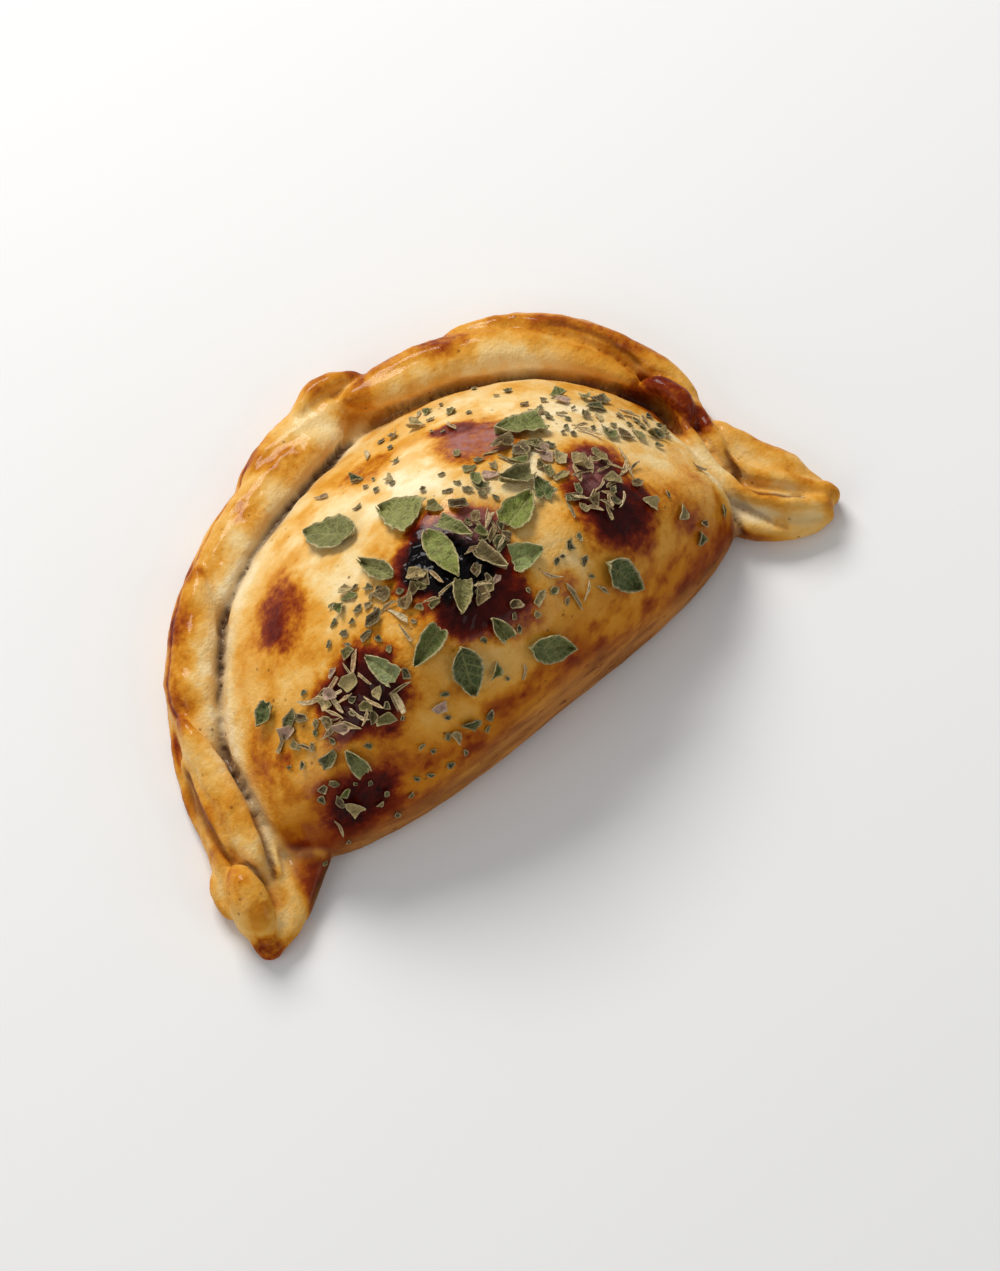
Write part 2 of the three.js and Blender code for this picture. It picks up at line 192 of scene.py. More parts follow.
# The value of evenly spaced samples at each share of the way, smoothly interpolated.
def sampled(values, share):
    values = np.asarray(values, float)
    last = len(values) - 1
    at = np.clip(share, 0, 1) * last
    i = np.minimum(np.floor(at).astype(int), last - 1)
    t = at - i
    b, c = values[i], values[i + 1]
    a = np.where(i > 0, values[np.maximum(i - 1, 0)], 2 * b - c)
    d = np.where(i + 2 <= last, values[np.minimum(i + 2, last)], 2 * c - b)
    bend = 2 * a - 5 * b + 4 * c - d
    twist = 3 * b - a - 3 * c + d
    return 0.5 * (2 * b + (c - a) * t + bend * t**2 + twist * t**3)


# Smooth noise from -1 to 1 at each point, in cells of the size given, which may differ by axis.
def noiseAt(points, cell, offset=0.0, octaves=1):
    scaled = np.asarray(points) / np.asarray(cell, float) + offset
    if octaves == 1:
        return np.array([noise.noise(p) for p in scaled.tolist()])
    return np.array([noise.fractal(p, 1.0, 2.0, octaves) for p in scaled.tolist()])


# Several noises added up: how strong each is, its cell and its offset.
def noises(points, *layers):
    return sum(amount * noiseAt(points, cell, offset) for amount, cell, offset in layers)


# The rows of a table, each under the names of its columns.
def tableOf(columns, *rows):
    return [dict(zip(columns.split(), row)) for row in rows]


# The filled body seen from above is two half superellipses that meet at the waist line. Lengths
# are in millimetres. The last line is for its mesh.
dough = {
    "waist": (0.3, 20), "halfLength": 54, "waistToRim": 48.5, "waistToFold": 18.4,
    "rimPower": 2.2, "foldPower": 2.8, "slant": 0.14, "foldTilt": 0.031,
    "apex": (2.5, 22.5), "height": 34, "crown": 2, "bottomPower": 6, "swell": 0.45, "swellLength": 21,
    "edgeHeight": (11, 3, 1.5), "fullness": (0.5, 0.8, 1.05),  # on the folded side, at the ends, at the rim
    "sunk": 0.35,  # how far it reaches below the floor before it is pressed flat
    "cells": (180, 100), "voxel": 0.48, "smoothing": 6, "faces": 188000, "flatBelow": 0.1,
}

# The middle line of the rim, from the left horn's tip to the right one's.
rimLine = (
    (-62.5, 0.5), (-58.8, 16), (-50.3, 38), (-32, 58.5), (-6, 69), (22, 69.3),
    (45, 57), (56.5, 38), (55.8, 18.5), (58.8, 9.4), (65, 3),
)

# Each fold of the rim: its first and last station along the rim line, then its lane outside that
# line, its half width and its top, each evenly spaced along the fold.
folds = {
    "flange": ((1, 210), (-0.4, 0, 0), (3, 5.2, 3), (4, 5, 4)),
    "leftHornBase": ((21, -1.8), (-1.2, -2, -2.4, 1.6), (4.8, 7.2, 7, 3.4), (6, 6, 5.4, 4.4)),
    "leftNeck": ((1.5, 24), (-6, -12.6, -16.5), (1.7, 4.1, 5), (4, 6, 9)),
    "leftUnderLip": ((29, 8), (-5.8, -6.8, -5.2), (1.2, 1.7, 1.4), (7.2, 7.4, 6.4)),
    "leftOuterStrand": ((37, 11), (1.6, 0.8, 2.3), (1.5, 2.1, 1.8), (7.2, 8, 6.6)),
    "longLeftFold": ((59, 109.5), (-1.4, -1.4, -1.1, -0.3), (4.4, 5.6, 5.6, 4.6), (8, 9.4, 9.8, 9.4)),
    "leftShoulderFold": ((72.5, 32), (2.2, -0.3, -1.2, -2.8), (1.8, 4.8, 5, 2.6), (10.6, 10, 9.2, 7.4)),
    "leftRope": ((44, 9.5), (2.5, -1.4, -3, -3.4), (1.2, 2.9, 3.5, 1.8), (9.6, 10.8, 10.4, 8.4)),
    "leftKnob": ((14.5, 0.3), (0.3, 0.6, -0.2), (2.3, 3.5, 2.8), (9.6, 10.6, 8)),
    "rearSheet": ((84, 114), (0.8, 1.6, 2.4), (4, 5.4, 4.2), (8.8, 9.2, 9)),
    "rearTuck": ((101, 118.5), (3.4, 6.2, 3.2), (1.8, 2.5, 1.7), (9, 9.6, 8.6)),
    "bigRoll": (
        (108.5, 170), (2.2, -0.6, -0.2, -0.2, -1.3, -2.3), (1.8, 4.9, 5.3, 4.8, 3.3, 2),
        (9.6, 11.2, 11.8, 11.2, 10.2, 9.4),
    ),
    "rightOuterRidge": (
        (130, 180), (4, 5.1, 4.4, 3.2, 1.4), (1.6, 2.8, 3, 2.8, 1.8), (8.4, 9.8, 9.8, 9.2, 8),
    ),
    "burntEnd": ((168.5, 183.5), (-2.2, -1.1, -0.8, -2.1), (1.5, 2.5, 2.5, 1.5), (10, 11.6, 11.2, 9)),
    "rightInnerRope": (
        (177, 212), (-1.6, -3.1, -3.3, -1.9, -0.8), (1.6, 1.9, 2.1, 2.3, 2), (9, 8.8, 8.6, 8, 6.4),
    ),
    "rightOuterRope": (
        (174, 212.5), (1.8, 0.8, 0.9, 2.6, 1.2), (1.8, 1.8, 1.9, 2.2, 2), (8.6, 8.2, 7.8, 7.2, 6),
    ),
    "rightHornLobe": ((181, 211), (1.6, 4.6, 5.4, 2), (1.6, 3.2, 3.5, 2), (7, 6.8, 6.4, 5.4)),
    "rightHornBase": ((191, 212), (-5.6, -6, -3.6, -0.6), (3.2, 3.5, 3.4, 2.8), (6.4, 5.8, 5.2, 4.6)),
}
foldShape = {
    "squareness": 2.3, "leanIn": 0.9, "leastEndPower": 2.2, "endPower": 0.8,
    "segments": 36, "ringLength": 0.9, "endRings": 16,
}


# Two waves that cross, so that the dome isn't even.
def swelling(plan):
    along, across = (plan / dough["swellLength"]).T
    broad = np.sin(2.1 * along + 0.6) * np.cos(3.3 * across)
    return dough["swell"] * (broad + np.sin(4.3 * along - 2.9 * across))


def mouldBody(points):
    x, y, z = points.T
    angle = np.arctan2(y, x)
    spread = np.minimum(np.hypot(x, y), 1)[:, None]
    rimSide = np.sin(angle) > 0
    power = np.where(rimSide, dough["rimPower"], dough["foldPower"])
    depth = np.where(rimSide, dough["waistToRim"], dough["waistToFold"])
    alongPart = np.abs(np.cos(angle) / dough["halfLength"]) ** power
    acrossPart = np.abs(np.sin(angle) / depth) ** power
    reach = (alongPart + acrossPart) ** (-1 / power)
    outline = np.column_stack([np.cos(angle), np.sin(angle)]) * reach[:, None]
    outline[:, 0] += dough["slant"] * np.maximum(outline[:, 1], 0)
    outline[:, 1] += dough["foldTilt"] * outline[:, 0] * np.maximum(-np.sin(angle), 0)
    outline += dough["waist"]
    plan = np.array(dough["apex"]) * (1 - spread) + outline * spread
    towardsRim = (np.sin(angle) + 1) / 2
    edge = sampled(dough["edgeHeight"], towardsRim)
    fullness = sampled(dough["fullness"], towardsRim)
    spread = spread[:, 0]
    rise = (dough["height"] - edge + swelling(plan)) * (1 - spread ** dough["crown"]) ** fullness
    drop = (edge + dough["sunk"]) * (1 - spread ** dough["bottomPower"]) ** (1 / dough["bottomPower"])
    return np.column_stack([plan, edge + np.where(z >= 0, rise, -drop)])


rimShares = np.linspace(0, 1, 4001)
rimColumns = np.array(rimLine).T


def onRimLine(share):
    return np.column_stack([sampled(column, np.clip(share, 0, 1)) for column in rimColumns])


rimDense = onRimLine(rimShares)
rimStations = np.concatenate([[0], np.cumsum(np.hypot(*np.diff(rimDense, axis=0).T))])


def rimPoint(station, lane):
    inside = np.clip(station, 0, rimStations[-1])
    share = np.interp(inside, rimStations, rimShares)
    ahead = onRimLine(share + 1e-4) - onRimLine(share - 1e-4)
    ahead /= np.linalg.norm(ahead, axis=1)[:, None]
    outward = np.column_stack([-ahead[:, 1], ahead[:, 0]])
    return onRimLine(share) + ahead * (station - inside)[:, None] + outward * lane[:, None]


def mouldFold(points, fold):
    (start, end), lane, halfWidth, tops = fold
    y, z, x = points.T  # the ball's poles become the fold's ends
    share = (x + 1) / 2
    middleHalfWidth = sampled(halfWidth, np.array([0.5]))[0]
    endPower = max(foldShape["leastEndPower"], foldShape["endPower"] * abs(end - start) / middleHalfWidth)
    ends = np.sqrt(np.maximum(0, 1 - np.abs(x) ** endPower))
    around, square = np.arctan2(z, y), 2 / foldShape["squareness"]
    top = sampled(tops, share)
    halfHeight = (top + dough["sunk"]) / 2
    across = signedPower(np.cos(around), square) * sampled(halfWidth, share) * ends
    height = halfHeight - dough["sunk"] + signedPower(np.sin(around), square) * halfHeight * ends
    leanIn = foldShape["leanIn"] * (height / top - 0.5) * ends

    def line(u):
        return rimPoint(start + (end - start) * u, sampled(lane, u))

    ahead = line(share + 0.01) - line(share - 0.01)
    ahead /= np.linalg.norm(ahead, axis=1)[:, None]
    sideways = np.column_stack([-ahead[:, 1], ahead[:, 0]])
    plan = line(share) + sideways * (across - np.sign(end - start) * leanIn)[:, None]
    return np.column_stack([plan, height])


# A lump of dough starts as a ball whose points are then moved to the shape.
def rollBall(segments, rings, mould):
    deselectAll()
    bpy.ops.mesh.primitive_uv_sphere_add(segments=segments, ring_count=rings, radius=1)
    lump = bpy.context.object
    writePoints(lump.data, toPart(mould(readPoints(lump.data))))
    inEditMode(lump, bpy.ops.mesh.normals_make_consistent, inside=False)
    return lump


def rollDough():
    lumps = [rollBall(*dough["cells"], mouldBody)]
    for fold in folds.values():
        rings = int(abs(fold[0][1] - fold[0][0]) / foldShape["ringLength"]) + foldShape["endRings"]
        lumps.append(rollBall(foldShape["segments"], rings, lambda points: mouldFold(points, fold)))
    selectOnly(*lumps)
    bpy.ops.object.join()
    crust = bpy.context.object
    crust.name = "crust"
    applyModifier(crust, "REMESH", mode="VOXEL", voxel_size=dough["voxel"] * mm, use_smooth_shade=True)
    applyModifier(crust, "SMOOTH", factor=0.5, iterations=dough["smoothing"])
    thinBase(crust)
    return crust


# The flat underside needs fewer faces than the rest.
def thinBase(piece):
    flat = [vertex.index for vertex in piece.data.vertices if vertex.co.z < dough["flatBelow"] * mm]
    base = piece.vertex_groups.new(name="base")
    base.add(flat, 1, "REPLACE")
    triangles = sum(len(face.vertices) - 2 for face in piece.data.polygons)
    applyModifier(piece, "DECIMATE", ratio=dough["faces"] / triangles, vertex_group="base")
    piece.vertex_groups.clear()
    bpy.ops.object.shade_smooth()


crust = rollDough()
print("dough rolled:", len(crust.data.polygons), "faces")


# The dough as a surface to lay things on, in drawn millimetres.
def surfaceOf(piece):
    mesh = piece.data
    points = toDrawn(readPoints(mesh))
    return BVHTree.FromPolygons(points.tolist(), [tuple(face.vertices) for face in mesh.polygons])


bareDough = surfaceOf(crust)


# Where a surface is met, and which way it faces there.
def landing(surface, start, direction):
    return surface.ray_cast(Vector(start), Vector(direction))[:2]


def landingFromAbove(x, y):
    return landing(bareDough, (x, y, 2 * dough["height"]), (0, 0, -1))


# A frame that lies on the dough at a plan position: its X points the given way, its Z outwards.
def frameOn(x, y, degrees):
    point, normal = landingFromAbove(x, y)
    heading = math.radians(degrees)
    across = Vector((-math.sin(heading), math.cos(heading), 0))
    along = across.cross(normal).normalized()
    across = normal.cross(along)
    lying = Matrix((along, across, normal)).transposed().to_4x4()
    lying.translation = point
    return lying


# Each burnt spot: its middle, its reach along and across, the way it runs in degrees from +X, and
# its heat, where 0.4 is orange-brown, 0.7 dark brown and 1 black.
burntSpots = tableOf(
    "at reach runs heat",
    ((-3.6, 24.6), (13.5, 11.5), -38, 1.04),  # black top
    ((-3.5, 15.5), (11.5, 7), -30, 0.84),  # black top low
    ((-7.7, 15.2), (5, 5), 0, 0.72),  # black top drip
    ((5, 28.5), (7, 4.5), -40, 0.6),  # black top rear
    ((26.8, 17.8), (11.5, 10), -60, 0.87),  # right dark
    ((29.5, 25.5), (9, 7.5), 40, 0.72),  # right dark top
    ((-28, 18.4), (11, 9.5), 20, 0.88),  # left dark
    ((17.8, 42.8), (11, 10.5), -38, 0.58),  # rear mauve
    ((17.6, 48.6), (6.5, 3.6), -30, 0.7),  # rear mauve top
    ((23.4, 43.4), (4.4, 3), -70, 0.5),  # rear mauve right
    ((1.3, 54), (7, 7), 0, 0.42),  # rear left
    ((-27.8, 41.4), (9.6, 7.2), 55, 0.54),  # left brown
    ((-29.8, 40), (5, 3.6), 55, 0.66),  # left brown core
    ((-37, 7.4), (9, 5.7), -4, 0.74),  # low left
    ((10.6, 11), (3.4, 3), 0, 0.38),  # small middle
    ((38.5, 12), (9, 5), -60, 0.22),  # small right
    # The next row is not a burn: it is painted shade on the dome beside the left crease.
    ((-45.5, 24), (10, 4.5), 52, 0.2),  # beside crease
    ((-43.5, 21), (3.4, 2.6), 0, 0.36),  # small left
)
# The same on the rim, where the middle is a station along it and a lane outside it.
rimSpots = tableOf(
    "on reach heat",
    ((127.5, 2.2), (15, 5), 0.22),  # roll
    ((131, 2.4), (7.5, 3), 0.26),  # roll core
    ((112.8, -1.2), (6, 4), 0.17),  # roll start
    ((96, -1.3), (6, 4.4), 0.22),  # tuck patch
    ((84, -1.5), (6, 4.2), 0.24),  # fold patch
    ((73, 1.1), (8, 4), 0.2),  # fold end
    ((54, 2.8), (12, 4), 0.26),  # shoulder
    ((45, 1.2), (7, 3), 0.15),  # shoulder low
    ((24, 0), (9, 3.4), 0.16),  # left rope
    ((-1.4, 1), (4.6, 4.4), 0.46),  # left tip
    ((163, 4.4), (10, 3.4), 0.27),  # ridge
    ((148, 3.8), (10, 3), 0.1),  # top outer
    ((175, -2), (13, 4.6), 0.58),  # bead
    ((175, -5.4), (12, 3), 0.5),  # bead inner
    ((182, -0.6), (4.4, 3.6), 0.56),  # bead end
    ((200, -3.6), (9, 2.6), 0.16),  # right rope
    ((212, 0.5), (5, 5), 0.16),  # right tip
    ((206, 4), (5, 3), 0.1),  # right lobe
)
# Where a mauve sheen is painted over a burnt spot, a painted reflection of the light, and how far.
paintedSheenSpots = tableOf(
    "at reach runs mauve",
    ((18.6, 42.6), (8.5, 6.5), -38, 0.9),  # rear
    ((5.5, 27.2), (8, 5), -20, 0.75),  # black edge
    ((28.5, 25.5), (7, 5), 40, 0.6),  # right top
)
spotDepth = {"dome": 9, "rim": 5}
# The noises that make a spot's edge uneven.
spotEdges = {
    "heat": ((0.2, 5, 3.1), (0.12, 1.9, 7.7), (0.07, 0.9, 1.3)), "mauve": ((0.3, 3, 6.1), (0.15, 1.1, 2.1)),
}


# How far each point is from a spot's middle, where 1 is the spot's reach.
def awayFrom(spread, points, reach, depth):
    spread = spread.inverted()
    local = points @ np.array(spread)[:3, :3].T + np.array(spread.translation)
    return np.linalg.norm(local / (*reach, depth), axis=1)


# Each spot's frame on the dough, its values, and how deep it reaches.
def spotFrames():
    for spot in burntSpots:
        yield frameOn(*spot["at"], spot["runs"]), spot, spotDepth["dome"]
    for spot in rimSpots:
        station, lane = (np.array([value], float) for value in spot["on"])
        middle, onward = rimPoint(station, lane)[0], rimPoint(station + 1, lane)[0]
        runs = math.degrees(math.atan2(onward[1] - middle[1], onward[0] - middle[0]))
        yield frameOn(*middle, runs), spot, spotDepth["rim"]


# The heat of all spots, each with an uneven edge and a browned ring round its core.
def heatOfSpots(points):
    heat = np.zeros(len(points))
    warp = noises(points, *spotEdges["heat"])
    for spread, spot, depth in spotFrames():
        away = awayFrom(spread, points, spot["reach"], depth)
        core = 1 - smoothStep(0.4, 1.05, away + warp)
        ring = 1 - smoothStep(0.55, 1.6, away + 0.5 * warp)
        own = (0.76 * core + 0.24 * ring) * spot["heat"]
        lower, upper = np.minimum(heat, own), np.maximum(heat, own)
        heat = upper + 0.35 * lower * np.maximum(1 - upper, 0)
    return heat


# How far each point takes the painted mauve sheen, a painted reflection on the burnt spots.
def paintedSheenOf(points):
    mauve = np.zeros(len(points))
    warp = noises(points, *spotEdges["mauve"])
    for spot in paintedSheenSpots:
        spread = frameOn(*spot["at"], spot["runs"])
        away = awayFrom(spread, points, spot["reach"], spotDepth["dome"])
        mauve = np.maximum(mauve, spot["mauve"] * smoothStep(1, 0.3, away + warp))
    return mauve


# Each point's value averaged with its neighbours', round after round.
def averaged(mesh, values, rounds):
    edges = np.empty(len(mesh.edges) * 2, int)
    mesh.edges.foreach_get("vertices", edges)
    a, b = edges.reshape(-1, 2).T
    count = len(values)
    degree = np.bincount(a, minlength=count) + np.bincount(b, minlength=count)
    columns = np.array(values, float).reshape(count, -1)
    for _ in range(rounds):
        for axis in range(columns.shape[1]):
            column = columns[:, axis].copy()
            total = np.bincount(a, column[b], count) + np.bincount(b, column[a], count)
            columns[:, axis] = total / degree
    return columns.reshape(np.shape(values))


# Points averaged with their neighbours, as far as each one's share says.
def softened(mesh, points, rounds, share):
    share = share[:, None]
    return points * (1 - share) + averaged(mesh, points, rounds) * share


# How far each point lies inside a hollow (above 0) or on a ridge (below 0), in millimetres.
def hollowness(mesh, points, normals):
    inwards = ((averaged(mesh, points, 16) - points) * normals).sum(axis=1)
    return averaged(mesh, inwards, 3)


# The corner of a path that is nearest to each point, as seen from above, and how far off it is.
def nearestOn(path, points):
    nearest, away = np.empty(len(points), int), np.empty(len(points))
    for start in range(0, len(points), 20000):  # a batch at a time, to save memory
        batch = slice(start, start + 20000)
        apart = np.linalg.norm(points[batch, None, :2] - path[None], axis=2)
        nearest[batch], away[batch] = apart.argmin(axis=1), apart.min(axis=1)
    return nearest, away


# Each point's station along the rim line and its lane, which is above 0 outside that line.
def onRimOf(points):
    coarse, stations = rimDense[::20], rimStations[::20]
    ahead = np.gradient(coarse, axis=0)
    ahead /= np.linalg.norm(ahead, axis=1)[:, None]
    nearest, _ = nearestOn(coarse, points)
    away = points[:, :2] - coarse[nearest]
    return stations[nearest], away[:, 1] * ahead[nearest, 0] - away[:, 0] * ahead[nearest, 1]


# The crease between dome and rim: the stations and lanes where it is looked for, the stations
# where it fades in and the ones that the big roll covers, and how deep and wide it is pressed.
crease = {
    "stations": (12, 206, 2.0), "lanes": (-13, -2.9, 0.25), "clearDip": (0.2, 1.2), "fadesIn": (15, 27),
    "underRoll": (104, 116, 180, 188), "depth": 1.6, "width": 0.5, "rounding": 1.2, "shade": 2,
}


# Where the dome dips to the rim: at each station, the lane of the lowest point between them and how
# clear the dip is, from 0 to 1.
def findCrease():
    stations, lanes = np.arange(*crease["stations"]), np.arange(*crease["lanes"])
    found, depth = [], []
    for station in stations:
        heights = []
        for x, y in rimPoint(np.full(len(lanes), station), lanes):
            met, _ = landingFromAbove(x, y)
            heights.append(met.z if met else 0)
        lowest = int(np.argmin(heights))
        found.append(lanes[lowest])
        depth.append(min(max(heights[:lowest + 1]), max(heights[lowest:])) - heights[lowest])
    for _ in range(3):
        found = np.convolve(np.pad(found, 1, "edge"), (0.25, 0.5, 0.25), "valid")
    return stations, found, smoothStep(*crease["clearDip"], np.array(depth))


# Where each zone begins and where it is in full: by lane, by station, across and along the dough, by
# height, by slope, where 1 is level, and by the depth of a hollow or the heat of a spot.
zoneEdges = {
    "rim": (-9.5, -6.5), "rimFolds": (-5, -3.4), "rimTop": (-4.5, 1.5), "rimOutside": (1.5, 5.5),
    "rollStarts": (104, 114), "rollEnds": (176, 166), "rightHorn": (196, 204), "leftHorn": (14, 6),
    "towardsFold": (34, 6), "folded": (12, 6), "dry": (14, 6),
    "right": (8, 46), "left": (-18, -46), "leftCorner": (-24, -46), "low": (5, 1), "under": (1.2, 0.2),
    "steep": (0.8, 0.25), "foldedSlope": (0.34, 0.0), "drySlope": (0.75, 0.3),
    "hollow": (0.05, 0.5), "ridge": (0, -0.3), "core": (0.82, 1.0),
}


def zone(name, values):
    return smoothStep(*zoneEdges[name], values)


# How golden each part is before any burnt spot, from 0, pale, to 1, mostly from baking. The dome
# is palest round one place, partly paler dough and partly a painted highlight, and browner to the
# left, partly painted shade. A hollow is browner in a fold, which paints the warm shade there, and
# paler elsewhere, where the heat didn't reach.
bake = {
    "dome": 0.15, "foldSide": 0.1, "right": 0.06, "left": 0.11, "leftCorner": 0.1, "steepSide": 0.27,
    "pale": 0.2, "paleAt": (18, 36), "paleReach": (25, 14),
    "rim": 0.07, "rimTop": 0.13, "rimOutside": 0.07, "bigRoll": 0.07, "horns": 0.12,
    "ridges": 0.1, "foldHollows": 0.34, "hollows": -0.14, "seam": 0.26, "underside": 0.42,
}


def goldenOf(points, normals, station, lane, onRim, hollow, seam, underRoll):
    x, y, z = points.T
    foldSide, steep = zone("towardsFold", y), zone("steep", normals[:, 2])
    onDome = bake["dome"] + bake["foldSide"] * foldSide
    # The left and the left corner are browner, partly from baking and partly as painted shade.
    onDome = onDome + bake["right"] * zone("right", x) + bake["left"] * zone("left", x)
    onDome += bake["leftCorner"] * zone("leftCorner", x) * foldSide + bake["steepSide"] * steep * foldSide
    # The pale crown is partly paler dough and partly a painted highlight.
    alongPale, acrossPale = ((points[:, :2] - bake["paleAt"]) / bake["paleReach"]).T
    onDome -= bake["pale"] * np.exp(-(alongPale**2) - acrossPale**2)
    outside = zone("rimOutside", lane) + 0.5 * zone("low", z)
    rolled = zone("rollStarts", station) * zone("rollEnds", station)
    horns = zone("rightHorn", station) + 0.6 * zone("leftHorn", station)
    top = zone("rimTop", lane)
    browned = bake["rim"] + bake["rimTop"] * top + bake["rimOutside"] * outside
    browned += bake["bigRoll"] * rolled + bake["horns"] * horns * (1 - top)
    golden = onDome * (1 - onRim) + browned * onRim
    # A fold's hollows are browner, which paints the warm shade there.
    folds = np.maximum(zone("rimFolds", lane) * onRim, underRoll)
    inHollows = (bake["foldHollows"] * folds + bake["hollows"]) * zone("hollow", hollow)
    golden += bake["ridges"] * zone("ridge", hollow) + inHollows + bake["seam"] * seam
    under = zone("under", z)
    return golden * (1 - under) + bake["underside"] * under


# The lines where the rim's folds lie on each other, as seen from above: how deep and wide each is
# pressed in, how dark the shade painted along it is, and its corners.
foldLines = tableOf(
    "depth width dark along",
    (1.2, 0.75, 1.0,  # right rope outer
     ((57.4, 23), (55.6, 18.6), (54.4, 14), (55.6, 10.6), (58.4, 7.6), (60.6, 6), (62.1, 4.1))),
    (0.4, 0.45, 0.5,  # right rope inner
     ((49.9, 14.6), (50.9, 12.4), (53, 8.2), (54.6, 4.7), (56.4, 2.4))),
    (1.0, 0.65, 1.0,  # left outer
     ((-54.6, 35.2), (-57.1, 30), (-58.6, 24.1), (-59.6, 18), (-59.3, 13.7))),
    (0.9, 0.55, 0.9,  # left rope inner
     ((-50.9, 20.6), (-51.6, 18.4), (-52.5, 15.8), (-53.2, 13.7), (-54, 11.4), (-55, 9.3), (-56.3, 7.6))),
    (0.7, 0.45, 0.8,  # knob edge
     ((-60.9, 14.4), (-59.4, 14.6), (-58.1, 13.4), (-57.6, 11.6), (-57.4, 9), (-58.2, 5.7), (-59.5, 2.5))),
    (0.5, 0.5, 0.8,  # roll split
     ((46.5, 61), (49.9, 58.2), (53.5, 52.1), (55.2, 46.6), (55.9, 42))),
)


# How deep each point is pressed in by those lines, and how dark the shade painted along them is
# there, from 0 to 1.
def pressedByFolds(points, allowed):
    depth, dark = np.zeros((2, len(points)))
    chosen = np.flatnonzero(allowed > 0.02)
    share = np.linspace(0, 1, 121)
    for line in foldLines:
        corners = np.array(line["along"], float)
        places = np.linspace(0, 1, len(corners))
        path = np.column_stack([np.interp(share, places, axis) for axis in corners.T])
        nearest, away = nearestOn(path, points[chosen])
        ends = smoothStep(0, 0.16, share[nearest]) * smoothStep(1, 0.84, share[nearest])
        near = ends * np.exp(-((away / line["width"]) ** 2))
        depth[chosen] = np.maximum(depth[chosen], line["depth"] * near)
        dark[chosen] = np.maximum(dark[chosen], line["dark"] * smoothStep(0.1, 0.75, near))
    return depth * allowed, dark * allowed


# The edge of the upper layer, folded over the lower one, shows as a line round the outside.
def outerSeam(normals, station, lane, onRim):
    wander = 0.1 * noiseAt(np.column_stack([station, lane * 0, lane * 0]), 9, 3.3)
    seam = np.exp(-(((normals[:, 2] - 0.46 - wander) / 0.1) ** 2)) * smoothStep(1.5, 3, lane) * onRim
    atLeft = smoothStep(20, 30, station) * smoothStep(104, 96, station)
    atRight = 0.6 * smoothStep(120, 128, station) * smoothStep(172, 160, station)
    return seam * np.maximum(atLeft, atRight)


# What the skin adds, in millimetres: swells, with their cell and offset, more of them on the rim
# with streaks along it, the seam, and blisters on the blackest spots.
skin = {
    "swells": ((0.14, 7, 5.5), (0.07, 2.6, 9.1)), "rimSwells": ((0.34, 6, 8.3), (0.16, 2.4, 1.9)),
    "rimStreaks": 0.18, "streakCell": (10, 2, 2), "seam": 0.3, "blisters": 0.9, "blistersSink": 0.25,
    "sole": 0.3,  # the relief isn't pressed lower than this
}


def skinRelief(points, hollow, station, lane, onRim, seam, core):
    relief = noises(points, *skin["swells"])
    streaks = noiseAt(np.column_stack([station, lane, points[:, 2]]), skin["streakCell"], 2.7, 2)
    relief += onRim * (noises(points, *skin["rimSwells"]) + skin["rimStreaks"] * streaks)
    # hollows are deepened and ridges raised, which makes the folds crisper
    relief -= np.clip(hollow, -0.45, 1.0) * (0.5 + 0.8 * onRim + 1.1 * smoothStep(0.15, 0.5, hollow))
    relief -= skin["seam"] * seam
    blisters = np.abs(noiseAt(points, 1.9, 4.4)) + 0.6 * np.abs(noiseAt(points, 1.0, 6.2))
    return relief + core * (skin["blisters"] * blisters - skin["blistersSink"])


